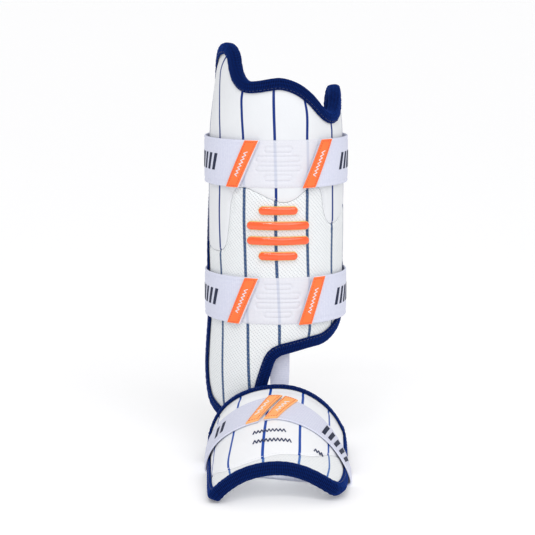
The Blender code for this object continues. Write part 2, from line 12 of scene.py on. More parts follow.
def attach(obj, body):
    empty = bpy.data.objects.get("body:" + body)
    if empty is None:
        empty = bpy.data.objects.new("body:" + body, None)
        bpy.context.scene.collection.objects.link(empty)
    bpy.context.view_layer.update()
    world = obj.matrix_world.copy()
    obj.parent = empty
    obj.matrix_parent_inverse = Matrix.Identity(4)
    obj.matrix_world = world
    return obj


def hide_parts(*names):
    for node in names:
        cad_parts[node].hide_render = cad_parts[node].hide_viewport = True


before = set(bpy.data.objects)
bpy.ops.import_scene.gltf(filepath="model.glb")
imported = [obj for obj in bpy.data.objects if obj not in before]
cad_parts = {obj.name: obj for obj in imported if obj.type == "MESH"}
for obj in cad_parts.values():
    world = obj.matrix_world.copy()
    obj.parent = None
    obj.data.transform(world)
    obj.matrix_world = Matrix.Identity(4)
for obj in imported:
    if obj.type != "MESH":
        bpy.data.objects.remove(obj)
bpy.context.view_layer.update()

# Walls, gaps and the curved faces, as the solids have them
walls = {
    "clearance": 0.0005,
    "cover": 0.0012,
    "pad": 0.0060,
    "footPad": 0.0055,
    "tape": 0.0012,
    "strap": 0.0016,
}
shinForm = {
    "seatHeight": 0.206,
    "radius": 0.0615,
    "bottom": 0.0275,
    "height": 0.3445,
    "tapeReach": 0.0090,
    "seamGap": 0.0005,
    "seamSpacing": 0.0030,
    "rimSpacing": 0.0030,
}
footForm = {
    "reach": 0.192,
    "heelGap": 0.0030,
    "heelShift": 0.0040,
    "heelLeastReach": 0.012,
    "halfWidth": {-1: 0.0605, 1: 0.0630},
    "sideAngle": {-1: 86.0, 1: 82.0},
    "fullness": {-1: 1.0, 1: 1.4},
    "taper": 0.06,
    "rearCrown": 0.0660,
    "frontCrown": 0.0280,
    "rimDrop": 0.0019,
    "toeDrop": 0.0030,
    "toeShare": 0.74,
    "tapeReach": 0.0075,
    "girthSteps": 60,
    "rimSpacing": 0.0026,
}
hair = 0.0001  # the least gap between two faces that lie on each other
lineLook = {
    "curveSteps": 12,
    "seamSteps": 900,
    "cutClear": 0.001,
    "gridClear": 0.45,
    "sharpDegrees": 50,
}
slack = walls["clearance"] + walls["tape"]
padFace = -(walls["cover"] + walls["clearance"])
shinLining = padFace - walls["pad"]
footLining = padFace - walls["footPad"]
strapLow = slack + walls["clearance"]
strapHigh = strapLow + walls["strap"]
heelRadius = shinForm["radius"] + slack + footForm["heelGap"]
footLength = footForm["reach"] - heelRadius
footBase = walls["strap"] + walls["clearance"] + footForm["rimDrop"]

# share of height, left half width, right half width and depth as shares of the radius
shinSections = [
    (-0.02, 1.010, 0.960, 1.000), (0.07, 1.033, 0.960, 1.000), (0.14, 1.044, 0.960, 1.000),
    (0.21, 1.028, 0.960, 1.000), (0.28, 1.002, 0.966, 1.000), (0.40, 1.000, 0.990, 1.000),
    (0.50, 1.000, 1.000, 1.000), (0.63, 1.000, 1.000, 1.000), (0.72, 0.992, 0.990, 1.000),
    (0.79, 0.974, 0.973, 0.998), (0.86, 0.927, 0.925, 0.975), (0.93, 0.872, 0.880, 0.945),
    (1.01, 0.805, 0.850, 0.895),
]

# angle from the front in degrees, share of height, along the tape's outer edge
shinOutline = [
    (-40.0, 0.000), (-30.0, 0.004), (-20.5, 0.024), (-14.0, 0.054), (-10.0, 0.088),
    (-7.2, 0.120), (-4.6, 0.147), (-3.0, 0.163), (-0.3, 0.184), (4.5, 0.195),
    (12.0, 0.201), (28.5, 0.211), (47.0, 0.218), (64.0, 0.238), (78.0, 0.262),
    (90.0, 0.296), (101.0, 0.350), (110.0, 0.428), (115.0, 0.515), (118.0, 0.617),
    (121.0, 0.718), (122.0, 0.785), (118.0, 0.838), (110.0, 0.872), (100.0, 0.887),
    (90.0, 0.885), (80.0, 0.871), (72.0, 0.849), (64.0, 0.830), (57.0, 0.823),
    (51.0, 0.827), (45.0, 0.842), (39.0, 0.861), (33.0, 0.877), (24.3, 0.895),
    (14.0, 0.908), (3.2, 0.914), (-7.5, 0.911), (-18.5, 0.906), (-28.5, 0.906),
    (-36.2, 0.922), (-41.3, 0.946), (-46.0, 0.974), (-53.5, 0.992), (-62.0, 1.000),
    (-72.0, 0.998), (-81.0, 0.990), (-90.0, 0.978), (-100.0, 0.957), (-108.5, 0.922),
    (-115.0, 0.863), (-117.0, 0.770), (-112.5, 0.640), (-103.0, 0.500), (-93.0, 0.405),
    (-87.0, 0.326), (-85.0, 0.239), (-86.0, 0.155), (-84.0, 0.103), (-79.0, 0.068),
    (-72.6, 0.044), (-63.8, 0.028), (-52.0, 0.012),
]

# angle from the front in degrees, share of height, along the seam between the two covers
shinSeam = [
    (-120.0, 0.560), (-100.0, 0.510), (-88.0, 0.475), (-78.0, 0.463), (-64.0, 0.459),
    (-54.0, 0.463), (-47.0, 0.484), (-43.5, 0.540), (-41.0, 0.600), (-36.0, 0.628),
    (-26.0, 0.632), (-15.5, 0.620), (-5.5, 0.606), (5.5, 0.596), (15.5, 0.604),
    (26.0, 0.627), (36.0, 0.634), (41.0, 0.615), (43.5, 0.570), (47.0, 0.545),
    (54.0, 0.532), (67.0, 0.543), (80.0, 0.570), (95.0, 0.605), (125.0, 0.640),
]

# share of height, then the angle in degrees of each navy stripe from the left to the right
shinStripes = [
    (0.00, -75.0, -47.5, -20.5, 5.0, 32.0, 60.0, 87.0),
    (0.10, -75.5, -48.6, -21.6, 4.0, 31.0, 60.0, 87.0),
    (0.23, -76.0, -49.9, -23.4, 3.2, 30.2, 59.9, 87.0),
    (0.27, -76.5, -51.0, -23.9, 3.1, 30.8, 59.5, 86.5),
    (0.40, -78.5, -52.9, -25.8, 1.1, 28.4, 55.4, 84.0),
    (0.46, -80.0, -54.6, -26.4, 0.3, 27.4, 54.5, 83.0),
    (0.55, -80.5, -56.1, -27.3, -0.2, 26.6, 55.0, 83.0),
    (0.63, -80.5, -55.4, -27.2, -0.3, 26.8, 54.9, 83.0),
    (0.76, -81.0, -56.0, -28.9, -1.4, 26.6, 55.0, 83.0),
    (0.82, -83.0, -59.2, -31.2, -2.1, 27.3, 57.0, 84.0),
    (0.86, -86.0, -62.4, -32.6, -2.4, 26.3, 57.0, 85.0),
    (0.90, -90.0, -65.9, -32.2, -2.4, 26.0, 57.0, 86.0),
    (0.93, -93.0, -67.2, -31.0, -2.4, 26.0, 57.0, 87.0),
    (0.96, -94.0, -61.0, -30.0, -2.4, 26.0, 57.0, 88.0),
    (1.01, -94.0, -50.0, -29.0, -2.4, 26.0, 57.0, 88.0),
]

# share of the half girth from the crown, share of the reach, along the tape's outer edge
footFrontEdge = [
    (-0.985, 0.275), (-1.00, 0.380), (-1.00, 0.600), (-1.00, 0.800), (-0.992, 0.915),
    (-0.960, 1.000), (-0.875, 1.042), (-0.72, 1.049), (-0.54, 1.041), (-0.30, 1.016),
    (0.00, 1.003), (0.26, 1.010), (0.48, 1.021), (0.64, 1.019), (0.78, 0.998),
    (0.89, 0.950), (0.96, 0.866), (1.00, 0.745), (1.00, 0.500), (1.00, 0.300), (0.985, 0.160),
]
heelShares = (0.90, 0.79, 0.66, 0.53, 0.40, 0.26, 0.12)

# share of the half girth from the crown, share of the reach, along the foot guard's seam
footSeam = [
    (-1.10, 0.780), (-0.80, 0.845), (-0.68, 0.880), (-0.58, 0.915), (-0.38, 0.938),
    (-0.22, 0.932), (0.00, 0.905), (0.22, 0.886), (0.38, 0.855), (0.62, 0.740),
    (0.80, 0.640), (1.10, 0.560),
]

# share of the reach, then each stripe's distance round from the crown in millimetres
footStripes = [
    (0.10, -62.0, -31.0, -3.0, 27.0, 59.0, 91.0), (0.34, -66.0, -34.2, -4.3, 25.8, 58.8, 91.0),
    (0.42, -69.0, -37.0, -5.5, 24.9, 58.8, 91.0), (0.65, -75.0, -42.2, -9.4, 21.9, 56.6, 90.0),
    (0.77, -79.0, -46.0, -11.4, 21.3, 56.1, 89.0), (0.87, -82.0, -49.4, -12.6, 20.9, 56.4, 89.0),
    (0.95, -82.0, -48.2, -12.9, 19.5, 53.6, 88.0), (1.02, -81.0, -46.4, -13.0, 18.8, 52.0, 87.0),
]

# share of the half girth from the crown, share of the reach, stand-off share
footStrapRows = [
    (-1.00, 0.465, 1.00), (-0.85, 0.485, 0.90), (-0.65, 0.515, 0.40), (-0.45, 0.547, 0.10),
    (-0.22, 0.563, 0.00), (0.00, 0.558, 0.00), (0.22, 0.568, 0.00), (0.45, 0.570, 0.10),
    (0.65, 0.582, 0.40), (0.85, 0.625, 0.90), (1.00, 0.675, 1.00),
]


def blend(a, b, t):
    return a + (b - a) * t


def smoothStep(t):
    t = np.clip(t, 0.0, 1.0)
    return t * t * (3 - 2 * t)


def tableValue(rows, place, column):  # smooth value in one column of a table
    table = np.asarray(rows, dtype=float)
    steps, values = table[:, 0], table[:, column]
    last = len(steps) - 1
    place = np.clip(place, steps[0], steps[last])
    i = np.clip(np.searchsorted(steps, place, side="left") - 1, 0, last - 1)
    before, after = np.maximum(i - 1, 0), np.minimum(i + 2, last)
    span = steps[i + 1] - steps[i]
    t = (place - steps[i]) / span
    rise = values[i + 1] - values[i]
    leave = (values[i + 1] - values[before]) * span / (steps[i + 1] - steps[before])
    arrive = (values[after] - values[i]) * span / (steps[after] - steps[i])
    return values[i] + rise * t + t * (1 - t) * (leave * (1 - t) - arrive * t + rise * (2 * t - 1))


def shinAround(degrees):
    return np.radians(degrees) * shinForm["radius"]


def shinHeight(share):
    return shinForm["bottom"] + np.asarray(share) * shinForm["height"]


def shinShare(height):
    return (height - shinForm["bottom"]) / shinForm["height"]


def shinFace(around, height):  # the shin covers' outer face
    angle = around / shinForm["radius"]
    share = shinShare(height)
    left, right, depth = (tableValue(shinSections, share, column) for column in (1, 2, 3))
    width = np.where(np.sin(angle) < 0, left, right)
    x = shinForm["radius"] * width * np.sin(angle)
    y = -shinForm["radius"] * depth * np.cos(angle)
    return np.stack((x, y, height - shinForm["seatHeight"]), -1)


def strapFace(low, high):  # an upright face as wide as the shin guard's widest section behind it
    def face(around, height):
        levels = np.linspace(low, high, 5)
        spots = np.stack([shinFace(around, np.full_like(around, level)) for level in levels])
        widest = np.argmax(np.hypot(spots[..., 0], spots[..., 1]), axis=0)
        spot = np.take_along_axis(spots, widest[None, ..., None], axis=0)[0]
        return np.stack((spot[..., 0], spot[..., 1], height - shinForm["seatHeight"]), -1)
    return face


def footSection(angle, side, halfWidth, crown):
    end = math.radians(footForm["sideAngle"][side])
    full = footForm["fullness"][side]
    low = math.cos(end) ** full
    rise = (np.maximum(np.cos(angle), 0.0) ** full - low) / (1 - low)
    return side * halfWidth * np.sin(angle) / math.sin(end), crown * rise


def footGirth(side):
    steps = footForm["girthSteps"]
    angles = math.radians(footForm["sideAngle"][side]) * np.arange(steps + 3) / steps
    x, z = footSection(angles, side, footForm["halfWidth"][side], footForm["rearCrown"])
    lengths = np.hypot(np.diff(x), np.diff(z))
    return np.stack((np.concatenate(([0.0], np.cumsum(lengths))), angles), -1)


footGirths = {-1: footGirth(-1), 1: footGirth(1)}


def footAround(share):
    side = -1 if share < 0 else 1
    return share * footGirths[side][footForm["girthSteps"], 0]


def footFace(around, y):  # the foot covers' outer face
    run = (-y - heelRadius) / footLength
    crown = blend(footForm["rearCrown"], footForm["frontCrown"], run)
    toe = (-y / footForm["reach"] - footForm["toeShare"]) / (1 - footForm["toeShare"])
    base = footBase - footForm["toeDrop"] * smoothStep(toe)
    halves = []
    for side in (-1, 1):
        angle = tableValue(footGirths[side], np.abs(around), 1)
        halfWidth = footForm["halfWidth"][side] * (1 - footForm["taper"] * run)
        halves.append(footSection(angle, side, halfWidth, crown))
    x = np.where(around < 0, halves[0][0], halves[1][0])
    z = base + np.where(around < 0, halves[0][1], halves[1][1])
    return np.stack((x, y + 0 * x, z - shinForm["seatHeight"]), -1)


def facing(face, u, v):  # the outward normal, and how long a unit step along u and v really is
    step = 0.0002
    across = face(u + step, v) - face(u - step, v)
    up = face(u, v + step) - face(u, v - step)
    normal = np.cross(across, up)
    normal /= np.linalg.norm(normal, axis=-1, keepdims=True)
    return normal, np.linalg.norm(across, axis=-1) / (2 * step), np.linalg.norm(up, axis=-1) / (2 * step)


def lifted(face, u, v, offset):
    u, v = np.broadcast_arrays(np.asarray(u, dtype=float), np.asarray(v, dtype=float))
    return face(u, v) + facing(face, u, v)[0] * np.asarray(offset)[..., None]


def travel(path):  # the distance travelled at each point of a path
    return np.concatenate(([0.0], np.cumsum(np.linalg.norm(np.diff(path, axis=0), axis=1))))


def resampled(path, count):  # a path as a number of points at even distances
    travelled = travel(path)
    wanted = np.linspace(0.0, travelled[-1], count)
    return np.stack([np.interp(wanted, travelled, path[:, k]) for k in range(path.shape[1])], -1)


def evenLoop(points, spacing, closed=True):
    points = np.asarray(points, dtype=float)
    path = np.vstack((points, points[:1])) if closed else points
    result = resampled(path, max(round(travel(path)[-1] / spacing), 2) + 1)
    return result[:-1] if closed else result


def smoothLoop(points, spacing):
    points = np.asarray(points, dtype=float)
    a, b, c, d = (np.roll(points, shift, axis=0)[:, None] for shift in (1, 0, -1, -2))
    t = np.linspace(0.0, 1.0, lineLook["curveSteps"], endpoint=False)[None, :, None]
    square = (2 * a - 5 * b + 4 * c - d) * t ** 2
    dense = 0.5 * (2 * b + (c - a) * t + square + (3 * b - a - 3 * c + d) * t ** 3)
    return evenLoop(dense.reshape(-1, 2), spacing)


def inwardSteps(face, loop):
    run = np.roll(loop, -1, axis=0) - np.roll(loop, 1, axis=0)
    _, aroundScale, alongScale = facing(face, loop[:, 0], loop[:, 1])
    real = run * np.stack((aroundScale, alongScale), -1)
    real /= np.linalg.norm(real, axis=1, keepdims=True)
    return np.stack((-real[:, 1] / aroundScale, real[:, 0] / alongScale), -1)


def inset(face, loop, distance):
    return loop + inwardSteps(face, loop) * distance


def beside(line, distance):  # a flat line moved to its left
    run = np.gradient(line, axis=0)
    run /= np.linalg.norm(run, axis=1, keepdims=True)
    return line + np.stack((-run[:, 1], run[:, 0]), -1) * distance


def seamLine(table, side):  # the seam, moved half its gap up or down
    place = np.linspace(table[0][0], table[-1][0], lineLook["seamSteps"])
    points = np.stack((place, tableValue(table, place, 1)), -1)
    line = evenLoop(points, shinForm["seamSpacing"], closed=False)
    return beside(line, side * shinForm["seamGap"] / 2)


def clipped(loop, line, side):  # the part of a loop above a line from left to right, or below it
    over = (loop[:, 1] - np.interp(loop[:, 0], line[:, 0], line[:, 1])) * side
    result = []
    crossings = {}
    for i in range(len(loop)):
        a, b = loop[i], loop[(i + 1) % len(loop)]
        overA, overB = over[i], over[(i + 1) % len(loop)]
        if overA > 0:
            result.append(a)
        if (overA > 0) != (overB > 0):
            cross = blend(a, b, overA / (overA - overB))
            crossings[overA > 0] = (len(result), cross[0])
            result.append(cross)
    leave, start = crossings[True]
    end = crossings[False][1]
    clear = lineLook["cutClear"]
    low, high = min(start, end) + clear, max(start, end) - clear
    inside = [p for p in line if low < p[0] < high]
    if end < start:
        inside.reverse()
    return np.array(result[:leave + 1] + inside + result[leave + 1:])


def distanceTo(points, line, closed=False):
    a = line if closed else line[:-1]
    b = np.roll(line, -1, axis=0) if closed else line[1:]
    edge = b - a
    t = ((points[:, None] - a) * edge).sum(2) / (edge ** 2).sum(1)
    nearest = a + edge * np.clip(t, 0.0, 1.0)[..., None]
    return np.linalg.norm(points[:, None] - nearest, axis=2).min(1)


def insideLoop(points, loop):
    a, b = loop, np.roll(loop, -1, axis=0)
    x, y = points[:, :1], points[:, 1:]
    crosses = (a[:, 1] > y) != (b[:, 1] > y)
    rise = np.where(a[:, 1] == b[:, 1], 1.0, b[:, 1] - a[:, 1])
    reach = a[:, 0] + (b[:, 0] - a[:, 0]) * (y - a[:, 1]) / rise
    return (crosses & (x < reach)).sum(1) % 2 == 1


def fillLoop(loop, pitch):  # even triangles inside a flat loop
    low, high = loop.min(0), loop.max(0)
    rise = pitch * math.sqrt(0.75)
    rows = range(math.floor(low[1] / rise), math.ceil(high[1] / rise) + 1)
    columns = range(math.floor(low[0] / pitch) - 1, math.ceil(high[0] / pitch) + 1)
    grid = np.array([((column + 0.5 * (row % 2)) * pitch, row * rise) for row in rows for column in columns])
    grid = grid[insideLoop(grid, loop)]
    grid = grid[distanceTo(grid, loop, closed=True) > lineLook["gridClear"] * pitch]
    points = [Vector(p) for p in np.vstack((loop, grid))]
    result = geometry.delaunay_2d_cdt(points, [], [list(range(len(loop)))], 1, 1e-7)
    return np.array([tuple(v) for v in result[0]]), [tuple(f) for f in result[2]]


def softNoise(points, size, seed):  # slow lumps of about one size, from -1 to 1
    return np.array([noise.noise(Vector((p[0] / size, p[1] / size, seed))) for p in points])


def edgeFall(away, radius):  # 1 at a rounded edge and 0 from one radius inside it
    return 1 - np.sqrt(np.clip(1 - np.clip(1 - away / radius, 0.0, 1.0) ** 2, 0.0, 1.0))


def groove(away, width):  # 1 in the middle of a soft groove and 0 far from it
    return np.exp(-(away / width) ** 2)


def swinging(count):  # 1 and -1 in turn
    return np.where(np.arange(count) % 2 == 0, 1.0, -1.0)


# Meshes
def makePiece(name, points, faces, materials, uvs=None, parts=None, recalculate=False):
    mesh = bpy.data.meshes.new(name)
    mesh.from_pydata(np.asarray(points).tolist(), [], [tuple(int(i) for i in f) for f in faces])
    for material in materials if isinstance(materials, list) else [materials]:
        mesh.materials.append(material)
    if parts is not None:
        mesh.polygons.foreach_set("material_index", parts)
    if recalculate:
        work = bmesh.new()
        work.from_mesh(mesh)
        bmesh.ops.recalc_face_normals(work, faces=work.faces[:])
        work.to_mesh(mesh)
        work.free()
    corners = np.zeros(len(mesh.loops), dtype=np.int32)
    mesh.loops.foreach_get("vertex_index", corners)
    for label, values in (uvs or {}).items():
        layer = mesh.uv_layers.new(name=label)
        layer.data.foreach_set("uv", np.asarray(values, dtype=np.float32)[corners].ravel())
    mesh.shade_smooth()
    mesh.set_sharp_from_angle(angle=math.radians(lineLook["sharpDegrees"]))
    piece = bpy.data.objects.new(name, mesh)
    bpy.context.scene.collection.objects.link(piece)
    return piece


def dress(piece, nodes):  # every piece rides on the one body and may stand for solids
    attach(piece, "root")
    if nodes:
        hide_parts(*nodes)
    return piece


def plate(name, face, loop, pitch, outer, inner, material, uvs):  # a wall inside a flat loop
    flat, triangles = fillLoop(loop, pitch)
    top = lifted(face, flat[:, 0], flat[:, 1], outer(flat))
    bottom = lifted(face, flat[:, 0], flat[:, 1], inner(flat))
    count = len(flat)
    faces = list(triangles) + [tuple(count + i for i in reversed(t)) for t in triangles]
    edges = {}
    for t in triangles:
        for a, b in zip(t, t[1:] + t[:1]):
            edges.setdefault(frozenset((a, b)), []).append((a, b))
    for uses in edges.values():
        if len(uses) == 1:
            a, b = uses[0]
            faces.append((b, a, count + a, count + b))
    doubled = {label: np.vstack([uv(flat)] * 2) for label, uv in uvs.items()}
    return makePiece(name, np.vstack((top, bottom)), faces, material, doubled), flat


def bandFaces(rows, ring, closedRows):
    faces = []
    for i in range(rows if closedRows else rows - 1):
        for k in range(ring):
            a, b = i * ring, (i + 1) % rows * ring
            n = (k + 1) % ring
            faces.append((a + k, b + k, b + n, a + n))
    return faces


def band(name, outside, inside, material, flat):  # a closed wall between two grids of points
    rows, across = outside.shape[:2]
    ring = 2 * across
    points = np.concatenate((outside, inside[:, ::-1]), axis=1).reshape(-1, 3)
    faces = bandFaces(rows, ring, False)
    for start in (0, (rows - 1) * ring):
        for k in range(across - 1):
            faces.append((start + k, start + k + 1, start + ring - 2 - k, start + ring - 1 - k))
    uv = np.concatenate((flat, flat[:, ::-1]), axis=1).reshape(-1, 2)
    return makePiece(name, points, faces, material, {"flat": uv}, recalculate=True)


# Materials
def linear(code):  # an sRGB hex colour as linear red, green, blue and alpha
    values = [int(code[i:i + 2], 16) / 255 for i in (0, 2, 4)]
    return (*(v / 12.92 if v <= 0.04045 else ((v + 0.055) / 1.055) ** 2.4 for v in values), 1.0)


def plain(value):  # a hex colour as an input takes it, and any other value as it is
    return linear(value) if isinstance(value, str) else value


def addNode(tree, kind, inputs=None, **settings):
    made = tree.nodes.new(kind)
    for name, value in settings.items():
        setattr(made, name, value)
    for name, value in (inputs or {}).items():
        if isinstance(value, bpy.types.NodeSocket):
            tree.links.new(value, made.inputs[name])
        else:
            made.inputs[name].default_value = plain(value)
    return made


def maths(tree, operation, *values):
    return addNode(tree, "ShaderNodeMath", dict(enumerate(values)), operation=operation).outputs[0]


def vectorMaths(tree, operation, *values):
    made = addNode(tree, "ShaderNodeVectorMath", dict(enumerate(values)), operation=operation)
    return made.outputs[1 if operation == "LENGTH" else 0]


def ranged(tree, value, low, high, atLow=0.0, atHigh=1.0, kind="LINEAR"):
    return addNode(tree, "ShaderNodeMapRange", {0: value, 1: low, 2: high, 3: atLow, 4: atHigh},
                   interpolation_type=kind).outputs[0]


def objectSpot(tree):
    return addNode(tree, "ShaderNodeTexCoord").outputs["Object"]


def lumps(tree, scale, detail=2.0):  # soft noise that is fixed to the piece
    settings = {"Vector": objectSpot(tree), "Scale": scale, "Detail": detail}
    return addNode(tree, "ShaderNodeTexNoise", settings).outputs[0]


def mixColour(tree, factor, a, b):
    return addNode(tree, "ShaderNodeMix", {0: factor, 6: a, 7: b}, data_type="RGBA").outputs[2]


def axesOf(tree, vector):
    return addNode(tree, "ShaderNodeSeparateXYZ", {0: vector}).outputs


def joined(tree, x, y):
    return addNode(tree, "ShaderNodeCombineXYZ", {0: x, 1: y}).outputs[0]


def mapAxes(tree, label):
    return axesOf(tree, addNode(tree, "ShaderNodeUVMap", uv_map=label).outputs[0])


def stripeMask(tree, halfWidth, softness):  # 1 on a stripe: stripes lie where the map's U is whole
    part = maths(tree, "FRACT", maths(tree, "ADD", mapAxes(tree, "stripe")[0], 0.5))
    away = maths(tree, "ABSOLUTE", maths(tree, "SUBTRACT", part, 0.5))
    return ranged(tree, away, halfWidth - softness, halfWidth + softness, 1.0, 0.0, "SMOOTHSTEP")


def startMaterial(name, settings):
    material = bpy.data.materials.new(name)
    material.use_nodes = True
    shader = material.node_tree.nodes["Principled BSDF"]
    for label, value in settings.items():
        shader.inputs[label].default_value = plain(value)
    return material, material.node_tree


def endMaterial(material, colour, bump=None, invert=False):  # bump is its height, strength and distance
    tree = material.node_tree
    shader = tree.nodes["Principled BSDF"]
    tree.links.new(colour, shader.inputs["Base Color"])
    if bump:
        settings = dict(zip(("Height", "Strength", "Distance"), bump))
        made = addNode(tree, "ShaderNodeBump", settings, invert=invert)
        tree.links.new(made.outputs[0], shader.inputs["Normal"])
    return material


leatherLook = {"roughness": 0.42, "cloud": 45.0, "grain": 1100.0, "swell": 160.0, "stripeSoft": 0.006,
               "relief": 0.35, "depth": 0.0002}


def syntheticLeather(name, light, shade, stripe, halfWidth):  # smooth coated PU: satin, with a fine grain
    look = leatherLook
    material, tree = startMaterial(name, {
        "Roughness": look["roughness"], "IOR": 1.47, "Specular IOR Level": 0.3,
    })
    tone = mixColour(tree, lumps(tree, look["cloud"], 3.0), light, shade)
    colour = mixColour(tree, stripeMask(tree, halfWidth, look["stripeSoft"]), tone, stripe)
    grain = addNode(tree, "ShaderNodeTexVoronoi", {"Vector": objectSpot(tree), "Scale": look["grain"]},
                    feature="SMOOTH_F1")
    height = maths(tree, "ADD", lumps(tree, look["swell"], 4.0), grain.outputs[0])
    return endMaterial(material, colour, (height, look["relief"], look["depth"]))


meshLook = {"roughness": 0.78, "sheen": 0.12, "cloud": 420.0, "stripeSoft": 0.012, "relief": 0.6,
            "depth": 0.0005, "holeEdge": (0.6, 1.4)}


def spacerMesh(name, settings):  # knitted spacer mesh: matt, with slanting rows of small holes
    look = {**meshLook, **settings}
    material, tree = startMaterial(name, {"Roughness": look["roughness"], "Sheen Weight": look["sheen"]})
    axes = mapAxes(tree, "flat")
    lean = maths(tree, "MULTIPLY_ADD", axes[1], look["lean"], axes[0])
    cell = (look["pitch"], look["rowPitch"] * 2, 1.0)
    shares = vectorMaths(tree, "DIVIDE", joined(tree, lean, axes[1]), cell)
    reaches = []
    for shift in (0.0, 0.5):  # two square lattices, half a cell apart, make the staggered holes
        part = vectorMaths(tree, "FRACTION", vectorMaths(tree, "ADD", shares, (shift, shift, 0.0)))
        centred = vectorMaths(tree, "SUBTRACT", part, (0.5, 0.5, 0.0))
        real = axesOf(tree, vectorMaths(tree, "MULTIPLY", centred, cell))
        upright = maths(tree, "MULTIPLY_ADD", real[1], -look["lean"], real[0])
        reaches.append(vectorMaths(tree, "LENGTH", joined(tree, upright, real[1])))
    near, far = (look["hole"] * share for share in look["holeEdge"])
    hole = ranged(tree, maths(tree, "MINIMUM", *reaches), near, far, 1.0, 0.0, "SMOOTHSTEP")
    cloud = lumps(tree, look["cloud"])
    tone = mixColour(tree, cloud, look["light"], look["shade"])
    mottled = mixColour(tree, cloud, *look["stripe"])
    striped = mixColour(tree, stripeMask(tree, look["halfWidth"], look["stripeSoft"]), tone, mottled)
    colour = mixColour(tree, maths(tree, "MULTIPLY", hole, look["holeShade"]), striped, look["deep"])
    return endMaterial(material, colour, (hole, look["relief"], look["depth"]), invert=True)


def wovenCloth(name, settings):  # webbing, knit or brushed cloth: fine ribs along and across, matt
    material, tree = startMaterial(name, {
        "Roughness": settings["roughness"], "Sheen Weight": settings["sheen"], "Sheen Roughness": 0.5,
        "Specular IOR Level": settings["shine"], "Sheen Tint": settings["tint"],
    })
    waves = [maths(tree, "SINE", maths(tree, "MULTIPLY", axis, 2 * math.pi / settings[pitch]))
             for axis, pitch in zip(mapAxes(tree, "flat"), ("ribAlong", "ribAcross"))]
    weave = maths(tree, "MULTIPLY_ADD", waves[0], settings["crossShare"], waves[1])
    mixed = maths(tree, "MULTIPLY", ranged(tree, weave, -1.5, 1.5), lumps(tree, settings["fuzz"], 4.0))
    colour = mixColour(tree, ranged(tree, mixed, 0.05, 0.55), settings["shade"], settings["light"])
    if "stripe" in settings:  # the stripes of the cover show faintly through the thin cloth
        mask = maths(tree, "MULTIPLY", stripeMask(tree, *settings["stripeShape"]), settings["stripeShare"])
        colour = mixColour(tree, mask, colour, settings["stripe"])
    return endMaterial(material, colour, (mixed, settings["relief"], settings["ribAlong"] * 0.3))


rubberLook = {"coatRoughness": 0.08, "bending": 1.5, "cloud": 120.0, "depth": 0.0001}
threadLook = {"roughness": 0.45, "sheen": 0.2, "twist": 1500.0}


def mouldedRubber(name, light, shade, roughness, coat, grain, relief):  # a faint pebble under the gloss
    look = rubberLook
    material, tree = startMaterial(name, {
        "Roughness": roughness, "Coat Weight": coat, "Coat Roughness": look["coatRoughness"],
        "IOR": look["bending"],
    })
    colour = mixColour(tree, lumps(tree, look["cloud"], 3.0), light, shade)
    return endMaterial(material, colour, (lumps(tree, grain), relief, look["depth"]))


def sewingThread(name, light, shade):  # polyester thread: a slight shine and a fine twist
    look = threadLook
    material, tree = startMaterial(name, {"Roughness": look["roughness"], "Sheen Weight": look["sheen"]})
    return endMaterial(material, mixColour(tree, lumps(tree, look["twist"]), shade, light))


smoothLeather = syntheticLeather("coatedLeatherWhite", "e6e8eb", "dee0e4", "002a78", 0.042)
footLeather = syntheticLeather("coatedLeatherFoot", "f5f6f8", "edeff3", "0046a4", 0.039)
shinMesh = spacerMesh("spacerMeshWhite", {
    "pitch": 0.0036, "rowPitch": 0.0014, "lean": 2.25, "hole": 0.00050, "holeShade": 0.46,
    "light": "eef0f2", "shade": "e2e6e8", "deep": "a0a5ab",
    "stripe": ("1b3c6a", "2f5482"), "halfWidth": 0.049,
})
toeMesh = spacerMesh("spacerMeshToe", {
    "pitch": 0.0030, "rowPitch": 0.0022, "lean": 0.0, "hole": 0.0004, "holeShade": 0.35,
    "light": "eef0f1", "shade": "e3e6e9", "deep": "bfc4ca",
    "stripe": ("1c55a8", "3a74b8"), "halfWidth": 0.036,
})
liningCloth = wovenCloth("brushedLining", {
    "light": "eceef1", "shade": "d6d9de", "tint": "eceef1", "shine": 0.2, "roughness": 0.9, "sheen": 0.3,
    "fuzz": 900.0, "relief": 0.5, "ribAlong": 0.0022, "ribAcross": 0.0022, "crossShare": 1.0,
})
tapeKnit = wovenCloth("ribKnitNavy", {
    "light": "02205e", "shade": "000830", "tint": "0060e8", "shine": 0.08, "roughness": 0.85, "sheen": 0.34,
    "fuzz": 700.0, "relief": 0.8, "ribAlong": 0.0015, "ribAcross": 0.0030, "crossShare": 2.0,
})
elasticWeb = wovenCloth("elasticWebbing", {
    "light": "e2e4f1", "shade": "ced1e5", "tint": "e2e4f3", "shine": 0.3, "roughness": 0.72, "sheen": 0.15,
    "fuzz": 500.0, "relief": 0.45, "ribAlong": 0.0020, "ribAcross": 0.0010, "crossShare": 0.4,
})
loopCloth = wovenCloth("loopClothMilky", {
    "light": "e5e5eb", "shade": "d9dae3", "tint": "f4f4f8", "shine": 0.2, "roughness": 0.85, "sheen": 0.2,
    "fuzz": 1400.0, "relief": 0.5, "ribAlong": 0.0012, "ribAcross": 0.0012, "crossShare": 1.0,
    "stripe": "a9b2cc", "stripeShare": 0.45, "stripeShape": (0.042, 0.02),
})
